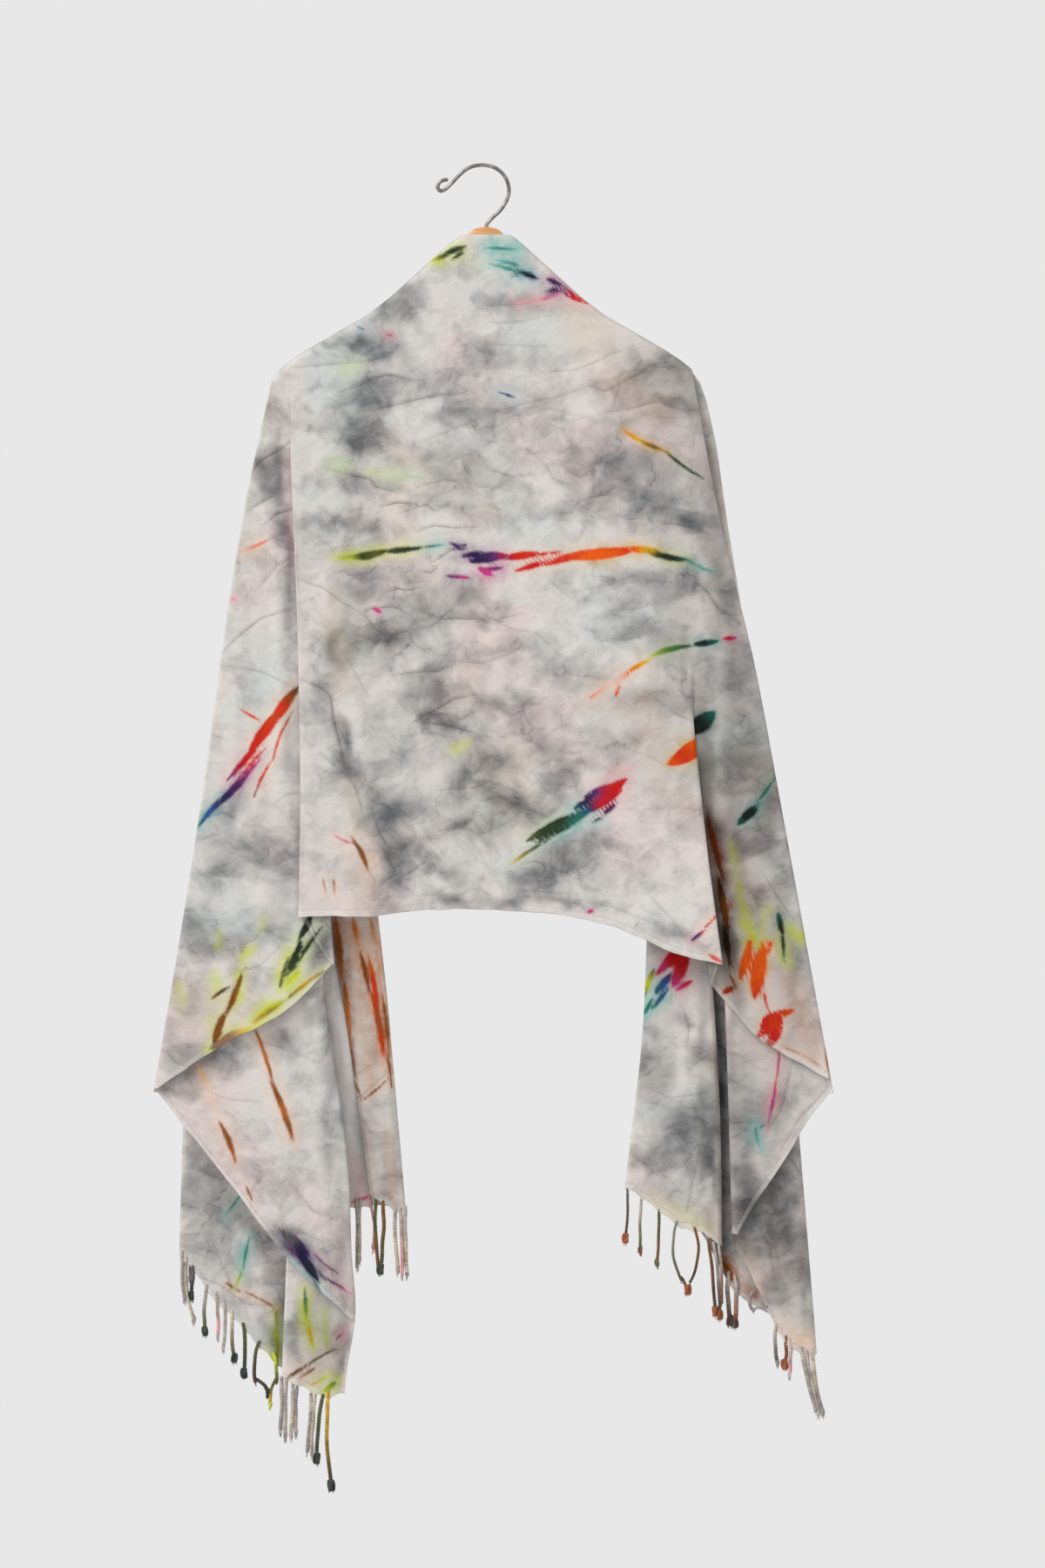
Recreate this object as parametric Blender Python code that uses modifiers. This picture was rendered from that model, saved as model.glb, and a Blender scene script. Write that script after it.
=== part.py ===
# Fringed tie-dyed scarf draped over a wooden hanger with a wire hook.
# Metres, +Z up.  The origin is the highest inner point of the hook, where it
# rests on a rail.  "drop" is a distance below the origin, and the front of the
# scarf faces -Y.  All the tables below are in millimetres.

import math

import bmesh
import bpy
import numpy as np
from mathutils import Vector

# ---------------------------------------------------------------- dimensions
WALL = 1.2            # cloth
SEAM = 0.8            # between one stretch and the next, at the turn of a fold
CORD = 3.0            # fringe cords
FRINGE_GAP = 1.2      # from the edge of the cloth down to the fringe

HANGER_CENTRE = 4.0   # x of the middle of the hanger
HANGER_HALF = 203.0   # middle to arm end
HANGER_THICK = 11.0
HANGER_NECK_HIGH = 27.0
HANGER_TIP_HIGH = 15.0
UNDER_CLOTH = 3.0     # from the middle of the cloth to the wood below it
WIRE = 4.0            # hook wire
SHANK_HOLE = 5.0
SHANK_DEEP = 22.0

ROWS = 12             # facets down a stretch
COLUMNS = 4           # facets across the flat of a stretch
ARM_COLUMNS = 13      # and of one that goes over the arm
TURN = 2              # facets round half of a fold

# Top line of the draped arms: distance from the middle of the hanger, and drop.
RIDGE = (
    # out, drop
    (0, 61.2), (12, 63.6), (23, 69.5), (38, 79), (59, 96.5), (79, 114.6),
    (99, 132.6), (122, 150.4), (154, 168.8), (185, 186.6), (205, 200.5),
    (222, 216),
)

# One row for each fold or free edge that runs down the scarf: the drops where
# it starts and ends, and its x at six equal stations between them.
FOLDS = {
    # name:          top,  foot,   x0,    x1,    x2,    x3,    x4,    x5
    "left_front":   (211,  774, -200, -196, -191, -188, -186.5, -188.5),
    "left_pleat":   (211,  824, -201, -188, -179, -170, -161, -152),
    "left_tip":     (213,  953, -213, -246.5, -269, -289.5, -312.5, -338),
    "left_inner":   (222, 1268, -204, -195, -183, -163, -137, -143),
    "left_split":   (228, 1252, -212, -209, -206, -202, -200, -207),
    "left_hidden":  (228, 1262, -204, -197, -189, -181, -175, -177),
    "left_outer":   (228, 1129, -212, -245, -270, -293, -308, -314.5),
    "left_edge":    (71,  1082,  -24,  -79, -104, -115,  -97, -79.5),
    "left_free":    (268, 1066,  -79, -122, -149, -160, -138, -116),
    "right_front":  (216,  820,  214.5, 214.5, 215, 219, 231, 247),
    "right_pleat":  (216,  845,  215,   215,  215.5, 217, 222, 235),
    "right_tip":    (216,  954,  217, 245, 280, 308, 335, 362),
    "right_inner":  (225, 1119,  211.5, 229, 239, 247, 254, 259),
    "right_outer":  (225, 1235,  225, 263.5, 290, 314, 331, 347.5),
    "right_edge":   (71,  1066,   32,   87,  134,  167,  168.5, 147.5),
    "right_free":   (268, 1119,   86,  147,  193,  231,  245.5, 249),
}

# Short bulges of a fold: the drop of the middle, half the length, and how far.
NUDGES = {
    "left_inner": (1185, 50, 8),
    "right_outer": (290, 60, 4),
}

# One row for each stretch: the folds on its two sides, its depth (y) at drops
# of 215, 450, 800 and 1250, and its lower edge: the drops at the two folds,
# how far the middle hangs below the straight line, and its start drop.
STRETCHES = {
    # name:              from,          to,            y215,  y450,  y800, y1250, foot_from, foot_to, sag, top
    "left_turn":        ("left_front",  "left_pleat",  -9.0, -11.5, -17.0, -17.0,  774,  824,   4, 266),
    "left_wing_front":  ("left_pleat",  "left_tip",    -7.4,  -9.0, -12.0, -13.0,  824,  951,  16, 213),
    "left_wing_back":   ("left_tip",    "left_inner",  -3.0,  -4.0,  -6.0,  -6.0,  955, 1189,  10, 222),
    "left_tail_front":  ("left_inner",  "left_split",   0.0,   0.0,   0.5,   1.0, 1268, 1252,   5, 228),
    "left_tail_turn":   ("left_split",  "left_hidden",  2.1,   3.0,   5.0,   7.0, 1252, 1262,   0, 232),
    "left_tail_outer":  ("left_hidden", "left_outer",   4.3,   6.0,  10.0,  13.0, 1262, 1129,   6, 236),
    "left_strip":       ("left_free",   "left_edge",    6.6,   8.6,  14.0,  17.0, 1066, 1082,   3, 300),
    "left_back":        ("left_outer",  "left_edge",    8.8,  11.5,  19.0,  24.0, 1129, 1082,  10, None),
    "right_turn":       ("right_front", "right_pleat", -10.5, -13.0, -17.0, -17.0, 820,  845,   2, 610),
    "right_wing_front": ("right_pleat", "right_tip",   -10.5, -13.0, -12.5, -13.0, 845,  940,  20, 216),
    "right_wing_back":  ("right_tip",   "right_inner",  -4.0,  -4.0,  -5.0,  -5.0,  955, 1103,   8, 225),
    "right_tail_front": ("right_inner", "right_outer",   1.0,   2.0,   3.0,   6.0, 1119, 1228,  14, 228),
    "right_strip":      ("right_free",  "right_edge",    6.6,   9.0,  12.0,  13.0, 1119, 1066,   3, 300),
    "right_back":       ("right_outer", "right_edge",    8.8,  12.0,  18.0,  20.0, 1215, 1066,  12, None),
}

# Which stretch lies across each fold, so that the two turn into each other.
ACROSS = {
    "left_front": ("centre_panel", "left_turn"),
    "left_pleat": ("left_turn", "left_wing_front"),
    "left_tip": ("left_wing_front", "left_wing_back"),
    "left_inner": ("left_wing_back", "left_tail_front"),
    "left_split": ("left_tail_front", "left_tail_turn"),
    "left_hidden": ("left_tail_turn", "left_tail_outer"),
    "left_outer": ("left_tail_outer", "left_back"),
    "left_edge": ("left_strip", "left_back"),
    "right_front": ("centre_panel", "right_turn"),
    "right_pleat": ("right_turn", "right_wing_front"),
    "right_tip": ("right_wing_front", "right_wing_back"),
    "right_inner": ("right_wing_back", "right_tail_front"),
    "right_outer": ("right_tail_front", "right_back"),
    "right_edge": ("right_strip", "right_back"),
}

# The centre panel: the depth of its left, middle and right at the four drops,
# and the drop of its hem at nine equal stations from left to right.
PANEL_DEPTH = {
    # side:    y215,  y450,  y800, y1250
    "left":   (-10.5, -14.0, -22.0, -22.0),
    "middle": (-9.5, -11.0, -14.0, -14.0),
    "right":  (-10.5, -13.0, -22.0, -22.0),
}
PANEL_HEM = (774, 772, 767, 765, 768, 774, 785, 803, 820)
NECK_LINE = 71.0      # top edge of the cloth in front of the neck of the hanger
PANEL_COLUMNS = 18

# Fringe: the stretch that it hangs from, where its row starts and ends across
# that stretch (0 to 1), and its reach at those two ends.
FRINGES = {
    # name:                from_stretch,      start, end,  reach_start, reach_end
    "left_fringe_front":  ("left_tail_front",  0.02, 0.96, 100, 52),
    "left_fringe_outer":  ("left_tail_outer",  0.06, 0.98,  54, 42),
    "left_fringe_strip":  ("left_strip",       0.04, 0.94,  52, 66),
    "left_fringe_back":   ("left_back",        0.06, 0.94,  52, 56),
    "right_fringe_front": ("right_tail_front", 0.06, 0.96,  42, 66),
    "right_fringe_strip": ("right_strip",      0.04, 0.94,  80, 60),
    "right_fringe_back":  ("right_back",       0.06, 0.94,  52, 58),
}

# Hook wire, from the bottom of its shank to the curled end.
HOOK = (
    # x, z
    (4.5, -84), (4.5, -66), (4.7, -60.5), (6.8, -56.5), (11.5, -51.5),
    (18, -45.5), (23.5, -38),
    (27, -30), (27.8, -22), (25.4, -13), (20.3, -5.6), (13, -0.4), (4, 2.0),
    (-4, 2.0), (-12.2, 0), (-19.5, -4.5), (-26, -10.8), (-32, -17.2),
    (-37.8, -22.6), (-43, -24.4), (-45.8, -21), (-44.4, -16.4), (-40, -13.4),
    (-35, -12.8),
)

CLOTH_COLOUR = (0.74, 0.69, 0.66, 1)
FRINGE_COLOUR = (0.38, 0.33, 0.22, 1)
WOOD_COLOUR = (0.68, 0.36, 0.14, 1)
STEEL_COLOUR = (0.55, 0.54, 0.52, 1)


# ------------------------------------------------------------------- helpers
def clear_scene():
    for obj in list(bpy.data.objects):
        bpy.data.objects.remove(obj, do_unlink=True)


def collection(name, cutters=False):
    made = bpy.data.collections.new(name)
    bpy.context.scene.collection.children.link(made)
    made.hide_render = cutters
    return made


def material(name, colour, roughness, metallic=0.0):
    made = bpy.data.materials.new(name)
    made.use_nodes = True
    shader = made.node_tree.nodes["Principled BSDF"]
    shader.inputs["Base Color"].default_value = colour
    shader.inputs["Roughness"].default_value = roughness
    shader.inputs["Metallic"].default_value = metallic
    return made


def smooth(t):
    t = min(max(t, 0.0), 1.0)
    return t * t * (3 - 2 * t)


def spline(values, t):
    """A smooth curve through equally spaced values, at t from 0 to 1."""
    n = len(values) - 1
    k = min(max(t * n, 0.0), n)
    i = min(int(k), n - 1)
    f = k - i
    p1, p2 = values[i], values[i + 1]
    p0 = values[i - 1] if i else 2 * p1 - p2
    p3 = values[i + 2] if i + 2 <= n else 2 * p2 - p1
    return 0.5 * (2 * p1 + (p2 - p0) * f + (2 * p0 - 5 * p1 + 4 * p2 - p3) * f * f
                  + (3 * p1 - p0 - 3 * p2 + p3) * f ** 3)


def fold_x(name, drop):
    top, foot, *stations = FOLDS[name]
    middle, half, far = NUDGES.get(name, (0, 1, 0))
    bulge = far * math.exp(-((drop - middle) / half) ** 2)
    return spline(stations, (drop - top) / (foot - top)) + bulge


def by_drop(depths, drop):
    return float(np.interp(drop, (215, 450, 800, 1250), depths))


def ridge_drop(x):
    out, drop = zip(*RIDGE)
    return float(np.interp(abs(x - HANGER_CENTRE), out, drop))


def panel_depth(across, drop):
    """Depth of the centre panel at a fraction across it, left to right."""
    side = "left" if across < 0.5 else "right"
    w = abs(2 * across - 1) ** 1.6
    return (by_drop(PANEL_DEPTH["middle"], drop) * (1 - w)
            + by_drop(PANEL_DEPTH[side], drop) * w)


def stretch_depth(name, drop, fold=None):
    if name == "centre_panel":
        return panel_depth(0.0 if fold.startswith("left") else 1.0, drop)
    return by_drop(STRETCHES[name][2:6], drop)


def turn_depth(name, fold, drop):
    """Depth of the middle of the fold that joins a stretch to its neighbour."""
    if fold not in ACROSS:
        return stretch_depth(name, drop, fold)
    a, b = ACROSS[fold]
    return (stretch_depth(a, drop, fold) + stretch_depth(b, drop, fold)) / 2


def half_turn(edge, way, y, rise, run):
    """Points from the middle of a fold to the flat of the stretch beside it."""
    flat = abs(rise) < 0.6
    short = 0.0 if flat else min(SEAM / 2 / abs(rise), 0.5)
    points = []
    for step in range(TURN + 1):
        angle = short + (math.pi / 2 - short) * step / TURN
        x = edge + way * (run * (1 - math.cos(angle)) + (SEAM / 2 if flat else 0))
        points.append((x, y + rise * (1 - math.sin(angle))))
    return points


def across_stretch(name, drop):
    """The two turns of a stretch at a drop, each from its mid-fold: (x, y)."""
    first, last = STRETCHES[name][:2]
    a, b = fold_x(first, drop), fold_x(last, drop)
    way = 1 if b > a else -1
    y = stretch_depth(name, drop)
    ends = []
    for fold, edge, turned in ((first, a, way), (last, b, -way)):
        rise = turn_depth(name, fold, drop) - y
        run = min(max(abs(rise), 0.05), 0.42 * abs(b - a))
        ends.append(half_turn(edge, turned, y, rise, run))
    return ends


def grid_object(name, rows, group, look):
    """A cloth wall through a grid of points, given in millimetres."""
    mesh = bpy.data.meshes.new(name)
    build = bmesh.new()
    made = [[build.verts.new(Vector(p) / 1000) for p in row] for row in rows]
    for upper, lower in zip(made, made[1:]):
        for i in range(len(upper) - 1):
            build.faces.new((upper[i], lower[i], lower[i + 1], upper[i + 1]))
    bmesh.ops.recalc_face_normals(build, faces=build.faces)
    build.to_mesh(mesh)
    build.free()
    mesh.shade_smooth()
    mesh.materials.append(look)
    obj = bpy.data.objects.new(name, mesh)
    group.objects.link(obj)
    wall = obj.modifiers.new("wall", "SOLIDIFY")
    wall.thickness = WALL / 1000
    wall.offset = 0
    wall.use_even_offset = True
    return obj


# -------------------------------------------------------------------- pieces
def foot_drop(name, across):
    """Drop of the lower edge of a stretch, at a fraction of the way across."""
    start, end, sag = STRETCHES[name][6:9]
    return start + (end - start) * across + 4 * sag * across * (1 - across)


def top_drop(name, across):
    """Drop of the upper edge: level, or over the arm of the hanger."""
    top = STRETCHES[name][9]
    if top is not None:
        return top
    first, last = STRETCHES[name][:2]
    outer = HANGER_CENTRE + (HANGER_HALF + 6) * (1 if "right" in name else -1)
    inner = fold_x(last, NECK_LINE)
    return ridge_drop(outer + (inner - outer) * across)


def stretch_rows(name):
    over_arm = STRETCHES[name][9] is None
    side = 1 if "right" in name else -1
    counts = [0, 0.004, 0.012] if over_arm else [0]
    ts = counts + [counts[-1] + (1 - counts[-1]) * i / ROWS for i in range(1, ROWS + 1)]
    steps = 2 * TURN + (ARM_COLUMNS if over_arm else COLUMNS)
    rows = []
    for t in ts:
        row = []
        for i in range(steps + 1):
            if i <= TURN:
                u, part, k = 0.0, 0, i
            elif i >= steps - TURN:
                u, part, k = 1.0, 1, i - (steps - TURN)
            else:
                u, part, k = (i - TURN) / (steps - 2 * TURN), 2, 0
            top = top_drop(name, u)
            drop = top + (foot_drop(name, u) - top) * t
            start, end = across_stretch(name, drop)
            if part == 0:
                x, y = start[k]
            elif part == 1:
                x, y = end[TURN - k]
            else:
                x = start[-1][0] + (end[-1][0] - start[-1][0]) * u
                y = stretch_depth(name, drop)
            if over_arm:
                # near the arm the cloth starts from the ridge and leans back
                outer = HANGER_CENTRE + (HANGER_HALF + 6) * side
                inner = fold_x(STRETCHES[name][1], NECK_LINE)
                near = 1 - smooth((drop - top) / 150)
                x = x + (outer + (inner - outer) * u - x) * near
                y_arm = stretch_depth(name, 215)
                y = y + (y_arm - y) * near
                curl = min((drop - top) / 9.0, 1.0)
                y = y * math.sqrt(max(1 - (1 - curl) ** 2, 0)) if curl < 1 else y
                y = max(y, SEAM / 2)
            row.append((x, y, -drop))
        rows.append(row)
    return rows


def panel_turns(drop):
    """The half folds at the left and right of the centre panel, from mid-fold."""
    turns = []
    for fold, across, way in (("left_front", 0.0, 1), ("right_front", 1.0, -1)):
        at = max(drop, FOLDS[fold][0])
        y = panel_depth(across, drop)
        rise = turn_depth("centre_panel", fold, at) - panel_depth(across, at)
        turns.append(half_turn(fold_x(fold, at), way, y, rise, abs(rise)))
    return turns


def panel_rows():
    ts = [0, 0.0015, 0.005, 0.012] + [0.012 + 0.988 * i / ROWS for i in range(1, ROWS + 1)]
    steps = PANEL_COLUMNS + 2 * TURN
    rows = []
    for t in ts:
        row = []
        for i in range(steps + 1):
            u = min(max((i - TURN) / PANEL_COLUMNS, 0.0), 1.0)
            x_top = fold_x("left_front", 211) * (1 - u) + fold_x("right_front", 216) * u
            top = max(ridge_drop(x_top), NECK_LINE)
            drop = top + (spline(PANEL_HEM, u) - top) * t
            start, end = panel_turns(drop)
            if i < TURN:
                x, y = start[i]
            elif i > steps - TURN:
                x, y = end[steps - i]
            else:
                x = start[-1][0] + (end[-1][0] - start[-1][0]) * u
                y = panel_depth(u, drop)
            curl = min((drop - top) / 9.0, 1.0)
            over = smooth((abs(x_top - HANGER_CENTRE - 3) - 22) / 12)
            bent = -math.sqrt(max(1 - (1 - curl) ** 2, 0)) * abs(y)
            y = y + (min(bent, -SEAM / 2) - y) * over
            row.append((x, y, -drop))
        rows.append(row)
    return rows


def fringe_object(name, group, look):
    """A plain slab as thick as its cords, hanging from a stretch's lower edge."""
    stretch, start, end, reach_start, reach_end = FRINGES[name]
    foot = stretch_rows(stretch)[-1]
    flat = foot[TURN:len(foot) - TURN]
    n = len(flat) - 1
    build = bmesh.new()
    grid = []
    for i in range(n + 1):
        f = i / n
        u = (start + (end - start) * f) * n
        k = min(int(u), n - 1)
        x, y, z = Vector(flat[k]).lerp(Vector(flat[k + 1]), u - k)
        reach = reach_start + (reach_end - reach_start) * f
        grid.append([build.verts.new(Vector((x, y, z - d)) / 1000) for d in (FRINGE_GAP, reach)])
    for (a, b), (c, d) in zip(grid, grid[1:]):
        build.faces.new((a, b, d, c))
    bmesh.ops.recalc_face_normals(build, faces=build.faces)
    mesh = bpy.data.meshes.new(name)
    build.to_mesh(mesh)
    build.free()
    mesh.materials.append(look)
    obj = bpy.data.objects.new(name, mesh)
    group.objects.link(obj)
    slab = obj.modifiers.new("slab", "SOLIDIFY")
    slab.thickness = CORD / 1000
    slab.offset = 0
    return obj


def hanger(group, cutters, look):
    """The wooden arms: an outline filled, thickened and rounded."""
    n = 24
    upper, lower = [], []
    for i in range(-n, n + 1):
        out = HANGER_HALF * i / n
        x = HANGER_CENTRE + out
        tip = abs(i) / n
        high = HANGER_NECK_HIGH + (HANGER_TIP_HIGH - HANGER_NECK_HIGH) * smooth(tip * 1.4)
        cover = UNDER_CLOTH * smooth((abs(out) - 10) / 20)
        round_end = math.sqrt(max(1 - max((tip - 0.965) / 0.035, 0) ** 2, 0.0))
        top = ridge_drop(x) + cover
        middle = top + high / 2
        half = high / 2 * (0.35 + 0.65 * round_end)
        upper.append((x, middle - half))
        lower.append((x, middle + half))
    build = bmesh.new()
    points = [build.verts.new((x / 1000, 0, -d / 1000)) for x, d in upper + lower[::-1]]
    build.faces.new(points)
    mesh = bpy.data.meshes.new("hanger_body")
    bmesh.ops.recalc_face_normals(build, faces=build.faces)
    build.to_mesh(mesh)
    build.free()
    mesh.materials.append(look)
    obj = bpy.data.objects.new("hanger_body", mesh)
    group.objects.link(obj)
    wood = obj.modifiers.new("thickness", "SOLIDIFY")
    wood.thickness = HANGER_THICK / 1000
    wood.offset = 0
    edge = obj.modifiers.new("rounded", "BEVEL")
    edge.width = 0.0034
    edge.segments = 2
    edge.limit_method = "ANGLE"
    edge.angle_limit = math.radians(60)
    # the hole that the shank of the hook is set in
    build = bmesh.new()
    bmesh.ops.create_cone(build, cap_ends=True, segments=16,
                          radius1=SHANK_HOLE / 2000, radius2=SHANK_HOLE / 2000, depth=0.06)
    cutter_mesh = bpy.data.meshes.new("shank_hole")
    build.to_mesh(cutter_mesh)
    build.free()
    cutter = bpy.data.objects.new("shank_hole", cutter_mesh)
    cutter.location = (HOOK[0][0] / 1000, 0, -(RIDGE[0][1] + SHANK_DEEP) / 1000 - 0.001 + 0.03)
    cutter.hide_render = True
    cutter.display_type = "WIRE"
    cutters.objects.link(cutter)
    hole = obj.modifiers.new("hole", "BOOLEAN")
    hole.operation = "DIFFERENCE"
    hole.object = cutter
    return obj


def hook(group, look):
    guide = [Vector((x, 0, z)) for x, z in HOOK]
    points = []
    for i in range(len(guide) - 1):
        p0 = guide[max(i - 1, 0)]
        p1, p2 = guide[i], guide[i + 1]
        p3 = guide[min(i + 2, len(guide) - 1)]
        for f in (0.0, 0.5):
            points.append(0.5 * (2 * p1 + (p2 - p0) * f + (2 * p0 - 5 * p1 + 4 * p2 - p3) * f * f
                                 + (3 * p1 - p0 - 3 * p2 + p3) * f ** 3))
    points.append(guide[-1])
    curve = bpy.data.curves.new("hanger_hook", "CURVE")
    curve.dimensions = "3D"
    line = curve.splines.new("POLY")
    line.points.add(len(points) - 1)
    for target, point in zip(line.points, points):
        target.co = (*(point / 1000), 1)
    curve.bevel_depth = WIRE / 2000
    curve.bevel_resolution = 2
    curve.use_fill_caps = True
    curve.materials.append(look)
    obj = bpy.data.objects.new("hanger_hook", curve)
    group.objects.link(obj)
    return obj


def main():
    clear_scene()
    group = collection("fringed_scarf_on_hanger")
    cutters = collection("cutters", cutters=True)
    cloth = material("dyed_cloth", CLOTH_COLOUR, 0.85)
    fringe = material("fringe_cord", FRINGE_COLOUR, 0.9)
    wood = material("hanger_wood", WOOD_COLOUR, 0.45)
    steel = material("hook_steel", STEEL_COLOUR, 0.3, 1.0)
    hanger(group, cutters, wood)
    hook(group, steel)
    grid_object("centre_panel", panel_rows(), group, cloth)
    for name in STRETCHES:
        grid_object(name, stretch_rows(name), group, cloth)
    for name in FRINGES:
        fringe_object(name, group, fringe)


main()
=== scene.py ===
import math
import random

import bmesh
import bpy
import numpy as np
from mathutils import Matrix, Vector


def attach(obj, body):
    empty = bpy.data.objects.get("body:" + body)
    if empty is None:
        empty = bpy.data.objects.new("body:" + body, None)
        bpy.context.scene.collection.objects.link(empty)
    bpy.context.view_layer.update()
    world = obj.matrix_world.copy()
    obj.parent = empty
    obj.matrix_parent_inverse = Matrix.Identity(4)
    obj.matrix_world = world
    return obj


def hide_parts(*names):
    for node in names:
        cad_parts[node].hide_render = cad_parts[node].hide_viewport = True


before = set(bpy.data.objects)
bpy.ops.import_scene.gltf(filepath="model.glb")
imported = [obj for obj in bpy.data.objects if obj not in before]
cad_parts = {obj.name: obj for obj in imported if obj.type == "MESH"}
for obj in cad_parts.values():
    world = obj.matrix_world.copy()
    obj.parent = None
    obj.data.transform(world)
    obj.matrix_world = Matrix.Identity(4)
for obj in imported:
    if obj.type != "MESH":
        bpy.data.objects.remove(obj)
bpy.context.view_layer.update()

# Lengths below are millimetres unless a name says otherwise.  "drop" is the
# distance below the inside of the hook.  The dye is laid out on a sheet of
# squares of 0.9 mm whose column 553.5 and row 192 are at the hook.
SQUARE = 0.9
COL0, ROW0 = 553.5, 192.0


def lay(col, row):
    return (col - COL0) * SQUARE, (row - ROW0) * SQUARE


# ------------------------------------------------------------ shape of cloth
CLOTH = 0.7
HANGER_CENTRE = 4.0
HANGER_HALF = 203.0
NECK_LINE = 71.0

RIDGE = (
    (0, 61.2), (12, 63.6), (23, 69.5), (38, 79), (59, 96.5), (79, 114.6),
    (99, 132.6), (122, 150.4), (154, 168.8), (185, 186.6), (205, 200.5),
    (213, 207), (222, 217),
)

FOLDS = {
    # name:          top,  foot,   x at six equal stations between them
    "left_front":   (211,  774, -200, -196, -191, -188, -186.5, -188.5),
    "left_pleat":   (211,  824, -201, -188, -179, -170, -161, -152),
    "left_tip":     (213,  953, -214.5, -246.5, -269, -289.5, -312.5, -338),
    "left_inner":   (222, 1268, -204, -195, -183, -163, -137, -143),
    "left_split":   (228, 1252, -212, -209, -206, -202, -200, -207),
    "left_hidden":  (228, 1262, -204, -197, -189, -181, -175, -177),
    "left_outer":   (228, 1129, -212, -245, -270, -293, -308, -314.5),
    "left_edge":    (71,  1082,  -24,  -79, -104, -115,  -97, -79.5),
    "left_free":    (268, 1066,  -79, -122, -149, -160, -138, -116),
    "right_front":  (216,  820,  214.5, 214.5, 215, 219, 231, 247),
    "right_pleat":  (216,  845,  215,   215,  215.5, 217, 222, 235),
    "right_tip":    (216,  954,  217, 245, 280, 308, 335, 362),
    "right_inner":  (225, 1119,  211.5, 229, 239, 247, 254, 259),
    "right_outer":  (225, 1235,  225, 263.5, 290, 314, 331, 347.5),
    "right_edge":   (71,  1066,   32,   87,  134,  167,  168.5, 147.5),
    "right_free":   (268, 1119,   86,  147,  193,  231,  245.5, 249),
}

# Short bulges of a fold: the drop of the middle, half the length, and how far.
NUDGES = {
    "left_inner": (1185, 50, 8),
    "right_outer": (290, 60, 4),
}

# from fold, to fold, depth at drops 215, 450, 800 and 1250, drop of the top,
# and drop of the foot at six equal stations across.
STRETCHES = {
    "left_turn":        ("left_front",  "left_pleat",  (-9.0, -11.5, -17.0, -17.0), 211, (774, 783, 794, 805, 815, 824)),
    "left_wing_front":  ("left_pleat",  "left_tip",    (-7.4, -9.0, -12.0, -13.0), 213, (824, 859, 883, 901, 924, 951)),
    "left_wing_back":   ("left_tip",    "left_inner",  (-3.0, -4.0, -6.0, -6.0), 220, (955, 1003, 1054, 1106, 1153, 1189)),
    "left_tail_front":  ("left_inner",  "left_split",  (0.0, 0.0, 0.5, 1.0), 226, (1268, 1273, 1269, 1264, 1258, 1252)),
    "left_tail_turn":   ("left_split",  "left_hidden", (2.1, 3.0, 5.0, 7.0), 229, (1252, 1254, 1256, 1258, 1260, 1262)),
    "left_tail_outer":  ("left_hidden", "left_outer",  (4.3, 6.0, 10.0, 13.0), 231, (1262, 1245, 1221, 1193, 1166, 1127)),
    "left_strip":       ("left_free",   "left_edge",   (6.6, 8.6, 14.0, 17.0), 300, (1063, 1067, 1072, 1077, 1081, 1080)),
    "left_back":        ("left_outer",  "left_edge",   (8.8, 11.5, 19.0, 24.0), None, (1126, 1124, 1112, 1094, 1076, 1079)),
    "right_turn":       ("right_front", "right_pleat", (-10.5, -13.0, -17.0, -17.0), 216, (820, 825, 830, 835, 840, 845)),
    "right_wing_front": ("right_pleat", "right_tip",   (-10.5, -13.0, -12.5, -13.0), 216, (845, 869, 895, 912, 926, 939)),
    "right_wing_back":  ("right_tip",   "right_inner", (-4.0, -4.0, -5.0, -5.0), 222, (955, 981, 1014, 1043, 1069, 1101)),
    "right_tail_front": ("right_inner", "right_outer", (1.0, 2.0, 3.0, 6.0), 226, (1121, 1143, 1175, 1208, 1225, 1228)),
    "right_strip":      ("right_free",  "right_edge",  (6.6, 9.0, 12.0, 13.0), 300, (1116, 1103, 1098, 1085, 1071, 1058)),
    "right_back":       ("right_outer", "right_edge",  (8.8, 12.0, 18.0, 20.0), None, (1212, 1190, 1162, 1096, 1068, 1056)),
}
ACROSS = {
    "left_front": ("centre_panel", "left_turn"),
    "left_pleat": ("left_turn", "left_wing_front"),
    "left_tip": ("left_wing_front", "left_wing_back"),
    "left_inner": ("left_wing_back", "left_tail_front"),
    "left_split": ("left_tail_front", "left_tail_turn"),
    "left_hidden": ("left_tail_turn", "left_tail_outer"),
    "left_outer": ("left_tail_outer", "left_back"),
    "left_edge": ("left_strip", "left_back"),
    "right_front": ("centre_panel", "right_turn"),
    "right_pleat": ("right_turn", "right_wing_front"),
    "right_tip": ("right_wing_front", "right_wing_back"),
    "right_inner": ("right_wing_back", "right_tail_front"),
    "right_outer": ("right_tail_front", "right_back"),
    "right_edge": ("right_strip", "right_back"),
}
PANEL_DEPTH = {
    "left":   (-10.5, -14.0, -22.0, -22.0),
    "middle": (-9.5, -11.0, -14.0, -14.0),
    "right":  (-10.5, -13.0, -22.0, -22.0),
}
PANEL_HEM = (775, 773.5, 772, 768, 766, 767, 769, 773, 781.5, 796.5, 812, 822)
MID_GAP = 0.12       # half the gap between two pieces at the middle of a fold

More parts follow.
